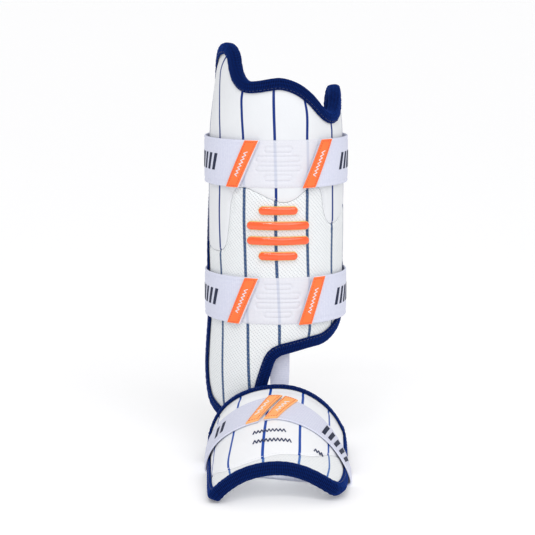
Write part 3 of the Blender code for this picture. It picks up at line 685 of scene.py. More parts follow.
# light, shade, roughness, coat, grain and relief
tabRubber = mouldedRubber("mouldedRubberOrange", "ff7d38", "fc6a28", 0.5, 0.05, 1500.0, 0.3)
# the foot tabs are the shin tabs' orange rubber made paler: painted light where light falls on the top of the
# foot
litFootTabRubber = mouldedRubber("mouldedRubberOrangePaintedLight", "ffba76", "ffab62", 0.5, 0.05, 1500.0, 0.3)
tabBase = mouldedRubber("mouldedRubberWhite", "f4f2f8", "e9e7f1", 0.55, 0.05, 1500.0, 0.2)
ribGloss = mouldedRubber("mouldedTpuOrange", "ff5e10", "f65008", 0.17, 1.0, 500.0, 0.15)
ribEdge = mouldedRubber("mouldedTpuGold", "f8cc62", "e2b044", 0.3, 0.5, 500.0, 0.15)
strapInk = mouldedRubber("screenInkNavy", "0c1d42", "071230", 0.75, 0.0, 900.0, 0.2)
whiteThread = sewingThread("threadWhite", "f6f6fa", "d9dae4")
orangeThread = sewingThread("threadOrange", "ee5018", "d83c0c")
navyThread = sewingThread("threadNavy", "0c2a62", "061840")
print("materials made")


# Threads: separate stitches where there is a pitch, otherwise one unbroken thread
threads = {
    "tape": {"Pitch": 0.0034, "Length": 0.0024, "Thickness": 0.0006, "Material": navyThread},
    "tab": {"Pitch": 0.0023, "Length": 0.0017, "Thickness": 0.00070, "Material": orangeThread},
    "zigzag": {"Thickness": 0.0008, "Material": whiteThread},
    "panel": {"Pitch": 0.0028, "Length": 0.0021, "Thickness": 0.00045, "Material": whiteThread},
    "seam": {"Pitch": 0.0030, "Length": 0.0022, "Thickness": 0.00045, "Material": whiteThread},
    "chevron": {"Thickness": 0.0011, "Material": navyThread},
}


def runTree(name, lengths, shape):  # nodes that turn a path into thread
    tree = bpy.data.node_groups.new(name, "GeometryNodeTree")
    sockets = [("Geometry", "INPUT", "Geometry"), *((label, "INPUT", "Float") for label in lengths),
               ("Material", "INPUT", "Material"), ("Geometry", "OUTPUT", "Geometry")]
    for label, way, kind in sockets:
        tree.interface.new_socket(label, in_out=way, socket_type="NodeSocket" + kind)
    given = addNode(tree, "NodeGroupInput").outputs
    curve = addNode(tree, "GeometryNodeMeshToCurve", {0: given["Geometry"]}).outputs[0]
    real = addNode(tree, "GeometryNodeRealizeInstances", {0: shape(tree, given, curve)})
    finished = addNode(tree, "GeometryNodeSetMaterial", {
        "Geometry": real.outputs[0], "Material": given["Material"]})
    addNode(tree, "NodeGroupOutput", {0: finished.outputs[0]})
    return tree


def stitchShape(tree, given, curve):  # small thread lumps laid end to end
    spacing = {"Curve": curve, "Length": given["Pitch"]}
    spaced = addNode(tree, "GeometryNodeResampleCurve", spacing, mode="LENGTH")
    lump = addNode(tree, "GeometryNodeMeshUVSphere", {"Segments": 8, "Rings": 5, "Radius": 0.5})
    size = addNode(tree, "ShaderNodeCombineXYZ", {
        0: given["Thickness"], 1: given["Thickness"], 2: given["Length"]})
    thread = addNode(tree, "GeometryNodeTransform", {
        "Geometry": lump.outputs["Mesh"], "Scale": size.outputs[0]})
    tangent = addNode(tree, "GeometryNodeInputTangent")
    turned = addNode(tree, "FunctionNodeAlignRotationToVector", {"Vector": tangent.outputs[0]}, axis="Z")
    return addNode(tree, "GeometryNodeInstanceOnPoints", {
        "Points": spaced.outputs[0], "Instance": thread.outputs[0], "Rotation": turned.outputs[0]}).outputs[0]


def threadShape(tree, given, curve):  # one unbroken thread
    half = maths(tree, "MULTIPLY", given["Thickness"], 0.5)
    circle = addNode(tree, "GeometryNodeCurvePrimitiveCircle", {"Resolution": 8, "Radius": half})
    return addNode(tree, "GeometryNodeCurveToMesh", {
        "Curve": curve, "Profile Curve": circle.outputs[0], "Fill Caps": True}).outputs[0]


stitchRun = runTree("stitchRun", ("Pitch", "Length", "Thickness"), stitchShape)
threadRun = runTree("threadRun", ("Thickness",), threadShape)


def runAlong(name, kind, paths):  # paths are (points, closed) pairs
    values = threads[kind]
    tree = stitchRun if "Pitch" in values else threadRun
    points, edges = [], []
    for path, closed in paths:
        first = len(points)
        points.extend(tuple(p) for p in path)
        edges.extend((first + i, first + i + 1) for i in range(len(path) - 1))
        if closed:
            edges.append((len(points) - 1, first))
    mesh = bpy.data.meshes.new(name + "Path")
    mesh.from_pydata(points, edges, [])
    path = bpy.data.objects.new(name + "Path", mesh)
    bpy.context.scene.collection.objects.link(path)
    modifier = path.modifiers.new("run", "NODES")
    modifier.node_group = tree
    for item in tree.interface.items_tree:
        if item.in_out == "INPUT" and item.name in values:
            modifier[item.identifier] = values[item.name]
    graph = bpy.context.evaluated_depsgraph_get()
    made = bpy.data.meshes.new_from_object(path.evaluated_get(graph))
    bpy.data.objects.remove(path)
    made.name = name
    made.shade_smooth()
    piece = bpy.data.objects.new(name, made)
    bpy.context.scene.collection.objects.link(piece)
    return dress(piece, ())


# The rim of each guard: the same smooth curve as the solids' tape, set in by the tape's slack
shinPoints = [(shinAround(a), shinHeight(h)) for a, h in shinOutline]
shinRim = inset(shinFace, smoothLoop(shinPoints, shinForm["rimSpacing"]), slack)


def heelReach(share):
    across = footFace(np.array(footAround(share)), np.array(-heelRadius))[0] + footForm["heelShift"]
    return max(math.sqrt(max(heelRadius ** 2 - across ** 2, 0.0)), footForm["heelLeastReach"])


footPoints = [(footAround(s), -r * footForm["reach"]) for s, r in footFrontEdge]
for share in heelShares + (0.0,) + tuple(-s for s in heelShares[::-1]):
    footPoints.append((footAround(share), -heelReach(share)))
footRim = inset(footFace, smoothLoop(footPoints, footForm["rimSpacing"]), slack)

shinSeamTable = [(shinAround(a), float(shinHeight(h))) for a, h in shinSeam]
footSeamTable = [(footAround(s), -r * footForm["reach"]) for s, r in footSeam]
shinSeamMiddle = seamLine(shinSeamTable, 0)
footSeamMiddle = seamLine(footSeamTable, 0)


# Stripes: the map's U counts them, so a stripe runs where U is whole
def stripeMap(rows, share, around, shift):
    def values(flat):
        lines = [around(tableValue(rows, share(flat[:, 1]), k)) for k in range(1, len(rows[0]))]
        return np.stack((countedFrom(flat[:, 0] + shift, np.stack(lines, -1)), flat[:, 1]), -1)
    return values


def shinStripeMap(shift):
    return stripeMap(shinStripes, shinShare, shinAround, shift)


def footStripeMap(shift):
    return stripeMap(footStripes, lambda y: -y / footForm["reach"], lambda distance: distance / 1000, shift)


def countedFrom(place, lines):
    gaps = np.diff(lines, axis=1)
    i = np.clip((place[:, None] > lines).sum(1) - 1, 0, gaps.shape[1] - 1)
    rows = np.arange(len(place))
    return i + (place - lines[rows, i]) / gaps[rows, i]


def flatMap(flat):
    return flat


# Covers
coverLook = {
    "pitch": 0.0021,
    "underTape": 0.0045,
    "seamDip": 0.0007,
    "seamReach": 0.0018,
    "lump": 0.00022,
    "lumpSize": 0.030,
    "edgeDip": 0.0008,
    "edgeSoft": 0.0040,
    "foldDip": 0.0009,
    "foldReach": 0.0010,
    "wall": 0.0010,
}
# angle and share of height along each small crease below the upper strap's ends
shinCreases = [
    [(-44.0, 0.632), (-39.5, 0.600), (-38.0, 0.570)], [(-37.0, 0.632), (-33.0, 0.612), (-30.5, 0.598)],
    [(41.0, 0.632), (44.5, 0.605), (46.0, 0.575)], [(47.5, 0.632), (49.5, 0.612), (50.5, 0.590)],
    [(-50.0, 0.462), (-46.5, 0.476), (-42.0, 0.485)], [(49.0, 0.536), (52.0, 0.520), (54.0, 0.512)],
]


def coverRelief(seam, rim, reach, seed, creases):  # lumps over the foam, sunk at seam, tape and creases
    look = coverLook

    def relief(flat):
        dip = look["seamDip"] * groove(distanceTo(flat, seam), look["seamReach"])
        sunk = look["edgeDip"] * groove(distanceTo(flat, rim, closed=True) - reach, look["edgeSoft"])
        folds = sum(look["foldDip"] * groove(distanceTo(flat, line), look["foldReach"]) for line in creases)
        return look["lump"] * softNoise(flat, look["lumpSize"], seed) - dip - sunk - folds
    return relief


def deeper(relief, wall):
    def inner(flat):
        return relief(flat) - wall
    return inner


def makeCovers():
    shinLoop = inset(shinFace, shinRim, coverLook["underTape"])
    footLoop = inset(footFace, footRim, coverLook["underTape"])
    creases = [np.array([(shinAround(a), shinHeight(h)) for a, h in line]) for line in shinCreases]
    shinRelief = coverRelief(shinSeamMiddle, shinRim, shinForm["tapeReach"], 3.0, creases)
    footRelief = coverRelief(footSeamMiddle, footRim, footForm["tapeReach"], 8.0, [])
    shin = (shinFace, shinLoop, shinSeamTable, shinRelief, "shin_pad")
    foot = (footFace, footLoop, footSeamTable, footRelief, "foot_pad")
    rows = [
        ("shinUpperCover", "shin_upper_cover", "smooth_cover", shin, 1, smoothLeather, shinStripeMap(0.0)),
        ("shinMeshCover", "shin_mesh_cover", "mesh_cover", shin, -1, shinMesh, shinStripeMap(0.0004)),
        ("footUpperCover", "foot_upper_cover", "smooth_cover", foot, 1, footLeather, footStripeMap(0.0)),
        ("footToeCover", "foot_toe_cover", "smooth_cover", foot, -1, toeMesh, footStripeMap(-0.0006)),
    ]
    for name, node, slotName, (face, loop, seam, relief, under), side, material, stripes in rows:
        part = clipped(loop, seamLine(seam, side), side)
        inner = deeper(relief, coverLook["wall"])
        maps = {"flat": flatMap, "stripe": stripes}
        piece, _ = plate(name, face, part, coverLook["pitch"], relief, inner, material, maps)
        dress(piece, (node,))
    print("covers made")


# Pads: foam with a brushed lining, blown up a little inside the rim by a cloth simulation
padLook = {
    "pitch": 0.0050,
    "rimInset": 0.0012,
    "rimRound": 0.0040,
    "pressure": 4.0,
    "frames": 20,
    "quality": 4,
    "limit": 0.0014,
    "rampIn": 0.012,
    "rampAside": 0.010,
    "leastShare": 0.04,
}


def roundedRim(high, low, rim):  # both faces of the foam curve together at the rim
    middle, half = (high + low) / 2, (high - low) / 2

    def shrink(flat):
        t = np.clip(distanceTo(flat, rim, closed=True) / padLook["rimRound"], 0.0, 1.0)
        least = padLook["leastShare"]
        return half * np.sqrt(np.clip(1 - (1 - t) ** 2 * (1 - least), least, 1.0))
    return (lambda flat: middle + shrink(flat)), (lambda flat: middle - shrink(flat))


def inflate(piece, free):  # free holds, for each point, how far it may move
    mesh = piece.data
    rest = np.zeros(len(mesh.vertices) * 3)
    mesh.vertices.foreach_get("co", rest)
    pinned = piece.vertex_groups.new(name="pinned")
    pinned.add([int(i) for i in np.nonzero(free <= 0)[0]], 1.0, "REPLACE")
    cloth = piece.modifiers.new("padding", "CLOTH")
    cloth.settings.vertex_group_mass = "pinned"
    cloth.settings.use_pressure = True
    cloth.settings.uniform_pressure_force = padLook["pressure"]
    cloth.settings.effector_weights.gravity = 0
    cloth.settings.quality = padLook["quality"]
    cloth.point_cache.frame_start = 1
    cloth.point_cache.frame_end = padLook["frames"]
    for frameNumber in range(1, padLook["frames"] + 1):
        bpy.context.scene.frame_set(frameNumber)
    graph = bpy.context.evaluated_depsgraph_get()
    blown = np.zeros(len(mesh.vertices) * 3)
    piece.evaluated_get(graph).data.vertices.foreach_get("co", blown)
    moved = (blown - rest).reshape(-1, 3)
    reach = np.linalg.norm(moved, axis=1)
    allowed = np.minimum(reach, np.maximum(free, 0.0))
    moved *= np.where(reach > 0, allowed / np.maximum(reach, 1e-9), 0.0)[:, None]
    piece.modifiers.remove(cloth)
    piece.vertex_groups.clear()
    mesh.vertices.foreach_set("co", rest + moved.ravel())
    mesh.update()
    bpy.context.scene.frame_set(1)
    print(piece.name, "blown up by at most", round(float(reach.max()) * 1000, 2), "mm before the limit")


def makePads():
    rows = [
        ("shinPad", "shin_pad", shinFace, shinRim, shinLining, shinForm["tapeReach"]),
        ("footPad", "foot_pad", footFace, footRim, footLining, footForm["tapeReach"]),
    ]
    for name, node, face, rim, lining, reach in rows:
        loop = inset(face, rim, padLook["rimInset"])
        high, low = roundedRim(padFace, lining, loop)
        piece, flat = plate(name, face, loop, padLook["pitch"], high, low, liningCloth, {"flat": flatMap})
        inside = smoothStep((distanceTo(flat, rim, closed=True) - reach) / padLook["rampIn"])
        toLink = np.abs(flat[:, 0] - linkLook["shift"]) - linkLook["width"]
        strapClear = smoothStep(toLink / padLook["rampAside"])
        free = np.concatenate((np.zeros(len(flat)), padLook["limit"] * inside * strapClear))
        inflate(piece, free)
        dress(piece, (node,))
    print("pads made")


# Tape: knit folded over the rim, rounded by the foam in it
tapeLook = {
    "bulge": 0.0002,
    "roll": 0.0046,
    "fullness": 0.70,
    "legEnd": 0.0002,
    "firstStep": (0.0005, 0.0011),
    "secondStep": (0.0014, 0.0003),
    "fullStep": 0.0028,
    "backCorner": (0.0052, 0.0010),
    "backBend": (0.0012, 0.0024),
    "backTurn": 0.0004,
    "roundSteps": 14,
    "pucker": 0.00035,
    "puckerLength": 0.0065,
    "puckerDrift": 0.02,
    "puckerWander": 5,
    "puckerLeast": 0.25,
    "puckerAtBend": 2.2,
    "stitchInset": 0.0018,
    "heelShare": 0.72,
    "heelRun": 0.040,
}


def tapeProfile(reach, lining):  # distance inwards and offset, outer skin first, then the inner skin
    look = tapeLook
    high, low = slack + look["bulge"], lining - slack
    middle, half = (high + low) / 2, (high - low) / 2
    end, full = look["legEnd"], reach - look["fullStep"]
    first, second = reach - look["firstStep"][0], reach - look["secondStep"][0]
    rise, dip = look["firstStep"][1], look["secondStep"][1]
    outer = [(reach, end), (first, rise), (second, high - dip), (full, high)]
    inner = [(full, low), (second, low + dip), (first, lining - rise), (reach, lining - end)]
    turn = []
    for angle in np.linspace(math.pi / 2, -math.pi / 2, look["roundSteps"]):
        across, up = abs(math.cos(angle)) ** look["fullness"], abs(math.sin(angle)) ** look["fullness"]
        turn.append((look["roll"] * (1 - across) - slack, middle + math.copysign(half * up, angle)))
    (corner, wall), (bend, bendRise) = look["backCorner"], look["backBend"]
    back = [(reach, lining - hair), (corner, low + wall), (bend, middle - bendRise),
            (look["backTurn"], middle), (bend, middle + bendRise), (corner, high - wall), (reach, hair)]
    return np.array(outer + turn + inner), np.array(back)


def sweep(name, face, rim, reaches, lining, seed, material):  # reaches holds the tape's reach along the rim
    skin, back = tapeProfile(reaches.max(), lining)
    profile = np.vstack((skin, back))
    steps = inwardSteps(face, rim)
    travelled = travel(lifted(face, rim[:, 0], rim[:, 1], 0.0))
    bend = np.linalg.norm(np.roll(steps, -1, axis=0) - np.roll(steps, 1, axis=0), axis=1)
    bend = np.convolve(np.concatenate((bend[-3:], bend, bend[:3])), np.ones(7) / 7, "valid")
    drift = softNoise(np.stack((travelled, travelled * 0), -1), tapeLook["puckerDrift"], seed)
    wave = np.sin(2 * math.pi * travelled / tapeLook["puckerLength"] + tapeLook["puckerWander"] * drift)
    strength = np.clip(tapeLook["puckerLeast"] + bend * tapeLook["puckerAtBend"], 0.0, 1.0)
    pucker = tapeLook["pucker"] * wave * strength
    flat = rim[:, None] + steps[:, None] * profile[None, :, :1] * (reaches / reaches.max())[:, None, None]
    skinPart = np.concatenate((np.ones(len(skin)), np.zeros(len(back))))
    skinPart[:1] = skinPart[len(skin) - 1:] = 0.0
    lift = np.where(profile[:, 1] > lining / 2, 1.0, -1.0) * skinPart
    offset = profile[None, :, 1] + pucker[:, None] * lift[None, :]
    points = lifted(face, flat[..., 0], flat[..., 1], offset)
    uv = np.stack(np.broadcast_arrays(travelled[:, None], travel(profile)[None]), -1).reshape(-1, 2)
    faces = bandFaces(len(rim), len(profile), True)
    piece = makePiece(name, points.reshape(-1, 3), faces, material, {"flat": uv}, recalculate=True)
    line = inset(face, rim, reaches[:, None] - tapeLook["stitchInset"])
    return piece, lifted(face, line[:, 0], line[:, 1], slack - hair + pucker)


def makeTapes():
    toFront = smoothStep((-footRim[:, 1] - heelRadius) / tapeLook["heelRun"])
    footReach = footForm["tapeReach"] * blend(tapeLook["heelShare"], 1.0, toFront)
    shinReach = np.full(len(shinRim), shinForm["tapeReach"])
    shinTape, shinLine = sweep("shinTape", shinFace, shinRim, shinReach, shinLining, 1.0, tapeKnit)
    footTape, footLine = sweep("footTape", footFace, footRim, footReach, footLining, 2.0, tapeKnit)
    dress(shinTape, ("shin_binding",))
    dress(footTape, ("foot_binding",))
    runAlong("shinTapeStitches", "tape", [(shinLine, True)])
    runAlong("footTapeStitches", "tape", [(footLine, True)])
    print("tapes made")


# Straps round the leg
strapLook = {
    "width": 0.042,
    "tabWidth": 0.0115,
    "overhang": 0.0010,
    "edgeRound": 0.0011,
    "endRound": 0.0002,
    "topFall": 0.9,
    "lowFall": 0.6,
    "selvedge": 0.0030,
    "groove": 0.0007,
    "grooveWidth": 0.0006,
    "steps": 220,
    "acrossSteps": 28,
    "sag": 0.0004,
    "sagAround": 0.017,
    "sagTurn": 90,
    "sagShare": 0.25,
    "sagInside": 0.2,
}
# name, share of height at the bottom edge, then the ends' angles at the bottom and top edges
strapRows = [
    ("lower", 0.279, -30.5, -14.2, 17.8, 30.8),
    ("upper", 0.634, -31.5, -14.0, 20.4, 37.2),
]


def crowded(count):  # from 0 to 1, closer together at both ends
    return 0.5 - 0.5 * np.cos(np.linspace(0.0, math.pi, count))[None, :]


def webbing(name, face, start, end, low, high, inner, outer, material, look):  # a band with slanted ends
    t, s = np.linspace(0.0, 1.0, look["steps"])[:, None], crowded(look["acrossSteps"])
    around = blend(blend(start[0], start[1], s), blend(end[0], end[1], s), t)
    height = blend(low, high, s) + 0 * t
    toEdge = np.minimum(height - low, high - height)
    toEnd = np.minimum(around - around[:1], around[-1:] - around)
    away = np.minimum(toEdge, np.maximum(toEnd, 0.0) + look["endRound"])
    fall = edgeFall(away, look["edgeRound"])
    sunk = look["groove"] * groove(toEdge - look["selvedge"], look["grooveWidth"])
    sway = look["sag"] * np.sin(around / look["sagAround"] + height * look["sagTurn"])
    half = (outer - inner) / 2
    raised = look["sagShare"] * sway * (fall + look["sagInside"])
    top = outer - fall * half * look["topFall"] - sunk + raised
    bottom = inner + fall * half * look["lowFall"]
    outside = lifted(face, around, height, top)
    inside = lifted(face, around, height, bottom)
    return band(name, outside, inside, material, np.stack((around, height), -1))


def makeStraps():
    borders, tabStitches, zigzags, ticks = [], [], [], []
    for name, share, leftLow, leftHigh, rightLow, rightHigh in strapRows:
        low = float(shinHeight(share))
        high = low + strapLook["width"]
        face = strapFace(low, high)
        left = shinAround(np.array((leftLow, leftHigh)))
        right = shinAround(np.array((rightLow, rightHigh)))
        around = 2 * math.pi * shinForm["radius"]
        strap = webbing(name + "Strap", face, right - around, left + strapLook["overhang"], low, high,
                        strapLow, strapHigh, elasticWeb, strapLook)
        dress(strap, (name + "_strap",))
        for side, start in (("Left", left - strapLook["tabWidth"]), ("Right", right)):
            node = name + "_tab_" + side.lower()
            tab(name + "Tab" + side, face, start, low, high, node, tabStitches, zigzags)
        panel(name, low, high, borders)
        ticks += strapTicks(face, low, high, left, right)
    runAlong("tabStitches", "tab", tabStitches)
    runAlong("tabZigzags", "zigzag", zigzags)
    runAlong("panelStitches", "panel", borders)
    inkPiece("strapTicks", ticks)
    print("straps made")


# Tabs: a moulded layer on a thin white base, with a stitched border and a zigzag
tabLook = {
    **strapLook,
    "edgeRound": 0.0006,
    "selvedge": -1.0,
    "sag": 0.0,
    "steps": 16,
    "acrossSteps": 30,
    "margin": 0.0015,
    "wall": 0.0011,
    "baseWall": 0.0005,
    "baseShift": 0.0007,
    "baseOverhang": 0.0003,
    "stitchStep": 0.0010,
    "threadStep": 0.0006,
    "turns": 15,
    "turnInset": 0.010,
    "swing": 0.0015,
    "footTurns": 9,
    "footTurnInset": 0.24,
    "footOverhang": 0.0006,
    "footFall": 0.0008,
}


def slantedLoop(start, width, low, high, margin, spacing):  # a slanted oblong, counter-clockwise
    lean = (start[1] - start[0]) / (high - low)
    corners = []
    far = width - margin
    for across, up in ((margin, margin), (far, margin), (far, -margin), (margin, -margin)):
        height = (low if up > 0 else high) + up
        corners.append((start[0] + lean * (height - low) + across, height))
    return evenLoop(corners, spacing)


def tab(name, face, start, low, high, node, stitches, zigzags):
    look = tabLook
    width, beyond = look["tabWidth"], look["baseOverhang"]
    shift, baseTop = look["baseShift"], strapHigh + look["baseWall"]
    base = webbing(name + "Base", face, start + shift, start + width + shift, low - beyond, high + beyond,
                   strapHigh + hair, baseTop, tabBase, look)
    dress(base, ())
    top = baseTop + look["wall"]
    piece = webbing(name, face, start, start + width, low, high, baseTop + hair, top, tabRubber, look)
    dress(piece, (node,))
    loop = slantedLoop(start, width, low, high, look["margin"], look["stitchStep"])
    stitches.append((lifted(face, loop[:, 0], loop[:, 1], top), True))
    lean = (start[1] - start[0]) / (high - low)
    up = np.linspace(low + look["turnInset"], high - look["turnInset"], look["turns"])
    across = start[0] + lean * (up - low) + width / 2 + look["swing"] * swinging(look["turns"])
    line = evenLoop(np.stack((across, up), -1), look["threadStep"], closed=False)
    zigzags.append((lifted(face, line[:, 0], line[:, 1], top + hair), False))


# Loop panels: thin cloth with a pressed border and four pressed bars
panelLook = {
    "left": -52.0,
    "right": 55.0,
    "wall": 0.0011,
    "edgeFall": 0.0008,
    "edgeSoft": 0.0007,
    "border": 0.0016,
    "borderPress": 0.0002,
    "borderLine": 0.0006,
    "press": 0.00090,
    "line": 0.0008,
    "barSize": 0.62,
    "barLength": 0.72,
    "lumpSize": 0.006,
    "pitch": 0.0010,
    "loopStep": 0.0012,
    "stitchStep": 0.0015,
    "stitchLift": 0.0010,
}


def stadium(flat, centre, length, height):  # distance from the edge of a bar with round ends
    reach = np.maximum(np.abs(flat[..., 0] - centre[0]) - (length - height) / 2, 0.0)
    return np.hypot(reach, flat[..., 1] - centre[1]) - height / 2


def oblong(left, right, low, high, margin, spacing):
    left, right, low, high = left + margin, right - margin, low + margin, high - margin
    return evenLoop([(left, low), (right, low), (right, high), (left, high)], spacing)


def panel(name, low, high, borders):
    look = panelLook
    left, right = shinAround(look["left"]), shinAround(look["right"])
    loop = oblong(left, right, low, high, 0.0, look["loopStep"])
    middle = (shinAround(emblemLook["angle"]), (low + high) / 2)

    def outer(flat):
        away = distanceTo(flat, loop, closed=True)
        lift = look["wall"] - look["edgeFall"] * np.exp(-away / look["edgeSoft"])
        lift -= look["borderPress"] * groove(away - look["border"], look["borderLine"])
        for i, share in enumerate(emblemLook["shares"]):
            spot = (middle[0], middle[1] + emblemLook["pitch"] * look["barSize"] * (i - emblemMiddle))
            edge = stadium(flat, spot, emblemLook["length"] * look["barLength"] * share,
                           emblemLook["rib"] * look["barSize"])
            lift -= look["press"] * groove(edge, look["line"])
        return lift + hair * softNoise(flat, look["lumpSize"], 4.0)

    piece, _ = plate(name + "LoopPanel", shinFace, loop, look["pitch"], outer,
                     lambda flat: np.full(len(flat), hair), loopCloth,
                     {"flat": flatMap, "stripe": shinStripeMap(0.0)})
    dress(piece, (name + "_loop_panel",))
    inner = oblong(left, right, low, high, look["border"], look["stitchStep"])
    borders.append((lifted(shinFace, inner[:, 0], inner[:, 1], look["stitchLift"]), True))


# Printed marks on the straps: plain slanted ticks of one size
tickLook = {
    "height": 0.0150,
    "width": 0.0042,
    "pitch": 0.0082,
    "count": 6,
    "start": 0.0370,
    "lean": 0.30,
    "rows": 7,
    "columns": 3,
    "lift": 0.00025,
    "depth": 0.0004,
}
# side, height, distance of the first tick from the crown, number
footTickRows = [(-1, 0.0150, 0.0540, 2), (1, 0.0230, 0.0500, 5)]


def strapTicks(face, low, high, left, right):
    marks = []
    for side, end in ((-1, left.mean()), (1, right.mean())):
        for i in range(tickLook["count"]):
            middle = end + side * (tickLook["start"] + i * tickLook["pitch"])

            def spot(across, up, lift, middle=middle):
                return lifted(face, middle + across, (low + high) / 2 + up, strapHigh + lift)
            marks.append((spot, tickLook["height"]))
    return marks


def footTicks():
    marks = []
    for side, tall, start, count in footTickRows:
        for i in range(count):
            middle = side * (start + i * tickLook["pitch"])

            def spot(across, up, lift, middle=middle):
                return footStrapSpot(middle + across, 2 * up / footStrapLook["width"], walls["strap"] + lift)
            marks.append((spot, tall))
    return marks


def inkPiece(name, marks):
    points, faces = [], []
    rows, columns = tickLook["rows"], tickLook["columns"]
    count = rows * columns
    s = np.linspace(-0.5, 0.5, rows)[:, None]
    t = np.linspace(-0.5, 0.5, columns)[None, :]
    ring = [*range(columns), *range(2 * columns - 1, count, columns),
            *range(count - 2, count - columns - 1, -1), *range(count - 2 * columns, 0, -columns)]
    for spot, tall in marks:
        up = s * tall + 0 * t
        across = t * tickLook["width"] + s * tall * tickLook["lean"]
        first = len(points)
        for lift in (tickLook["lift"], tickLook["lift"] - tickLook["depth"]):
            points.extend(spot(across, up, lift).reshape(-1, 3))
        for i in range(rows - 1):
            for k in range(columns - 1):
                a = first + i * columns + k
                b = a + count
                faces.append((a, a + 1, a + columns + 1, a + columns))
                faces.append((b, b + columns, b + columns + 1, b + 1))
        for a, b in zip(ring, ring[1:] + ring[:1]):
            faces.append((first + b, first + a, first + a + count, first + b + count))
    return dress(makePiece(name, np.array(points), faces, strapInk, recalculate=True), ())


# Emblem: four moulded bars with a thin gold foot
emblemLook = {
    "angle": 1.5,
    "share": 0.517,
    "rib": 0.0078,
    "pitch": 0.0135,
    "length": 0.056,
    "shares": (0.62, 1.00, 1.00, 0.62),
    "around": 20,
    "straight": 26,
}
emblemMiddle = (len(emblemLook["shares"]) - 1) / 2
# distance inwards, offset and part of each ring from the foot to the crown: 0 is the gold foot, 1 the bar
emblemRings = [
    (0.0, 0.0002, 0), (0.0, 0.0012, 0), (0.0002, 0.0015, 0), (0.0005, 0.0016, 1), (0.0005, 0.0022, 1),
    (0.0007, 0.0029, 1), (0.0012, 0.0034, 1), (0.0020, 0.0037, 1), (0.0030, 0.0039, 1), (0.0036, 0.00395, 1),
]


def barRing(middle, height, length, inward):  # a bar's outline, with its points in mirrored pairs
    half = emblemLook["rib"] / 2 - inward
    straight = length / 2 - emblemLook["rib"] / 2
    turn = np.linspace(-math.pi / 2, math.pi / 2, emblemLook["around"])
    along = np.linspace(straight, -straight, emblemLook["straight"])[1:-1]
    x = np.concatenate((straight + half * np.cos(turn), along, -straight - half * np.cos(turn), -along))
    z = np.concatenate((half * np.sin(turn), np.full(len(along), half), -half * np.sin(turn),
                        np.full(len(along), -half)))
    return np.stack((middle + x, height + z), -1)


def makeEmblem():
    first = shinHeight(emblemLook["share"]) - emblemLook["pitch"] * emblemMiddle
    for i, share in enumerate(emblemLook["shares"]):
        middle = shinAround(emblemLook["angle"])
        height = first + emblemLook["pitch"] * i
        points, parts, faces = [], [], []
        for inward, offset, part in emblemRings:
            flat = barRing(middle, height, emblemLook["length"] * share, inward)
            points.append(lifted(shinFace, flat[:, 0], flat[:, 1], offset))
        count = len(points[0])
        for k in range(len(emblemRings) - 1):
            for n in range(count):
                after = (n + 1) % count
                faces.append((k * count + n, k * count + after, (k + 1) * count + after, (k + 1) * count + n))
                parts.append(emblemRings[k + 1][2] if emblemRings[k][2] else 0)
        top, around = (len(emblemRings) - 1) * count, emblemLook["around"]
        for n in range(around // 2, around // 2 + count // 2 - 1):  # the crown, from side to side
            near, beyond = (around - 1 - n) % count, (around - 2 - n) % count
            faces.append((top + n, top + (n + 1) % count, top + beyond, top + near))
            parts.append(1)
        faces.append(list(range(count))[::-1])
        parts.append(0)
        piece = makePiece(f"emblemRib{i + 1}", np.vstack(points), faces, [ribEdge, ribGloss], parts=parts,
                          recalculate=True)
        dress(piece, (f"emblem_rib_{i + 1}",))
    print("emblem made")


# Foot strap
footStrapLook = {
    "width": 0.036,
    "standOff": 0.0022,
    "leftEnd": (-0.0165, 0.0045),
    "rightEnd": (-0.0104, 0.0078),
    "steps": 60,
    "turns": 9,
    "underSteps": 30,
    "columns": 27,
    "edgeRound": 0.0011,
    "topFall": 0.4,
    "lowFall": 0.25,
    "groove": 0.0004,
}


def footStrapSpot(around, edge, lift):
    girth = np.where(around < 0, abs(footAround(-1.0)), footAround(1.0))
    share = around / girth
    reach = tableValue(footStrapRows, share, 1) * footForm["reach"]
    away = blend(walls["clearance"], footStrapLook["standOff"], tableValue(footStrapRows, share, 2))
    return lifted(footFace, around, edge * footStrapLook["width"] / 2 - reach, away + lift)


def footStrapTurn(side, edge, turn, lift):  # the strap where it turns under the guard's edge
    around = np.full_like(edge, footAround(side))
    y = edge * footStrapLook["width"] / 2 - tableValue(footStrapRows, side, 1) * footForm["reach"]
    x = footFace(around, y)[..., 0]
    out = footStrapLook["standOff"] + lift
    depth = footBase - walls["strap"] + lift
    return np.stack((x + side * out * math.cos(turn), y,
                     footBase - depth * math.sin(turn) - shinForm["seatHeight"] + 0 * x), -1)


def footStrapGrid(edge, lift):  # one face: over the left side, under the shoe and over the right side
    look = footStrapLook
    shares = np.linspace(0.0, 1.0, look["steps"])
    turns = np.radians(np.linspace(0.0, 90.0, look["turns"]))[1:]

    def half(ends, side):
        start = blend(ends[0], ends[1], (edge + 1) / 2)
        over = [footStrapSpot(blend(start, footAround(side), t), edge, lift) for t in shares]
        return over + [footStrapTurn(side, edge, turn, lift) for turn in turns]

    left, right = half(look["leftEnd"], -1), half(look["rightEnd"], 1)
    under = [blend(left[-1], right[-1], t) for t in np.linspace(0.0, 1.0, look["underSteps"])[1:-1]]
    return np.array(left + under + right[::-1])


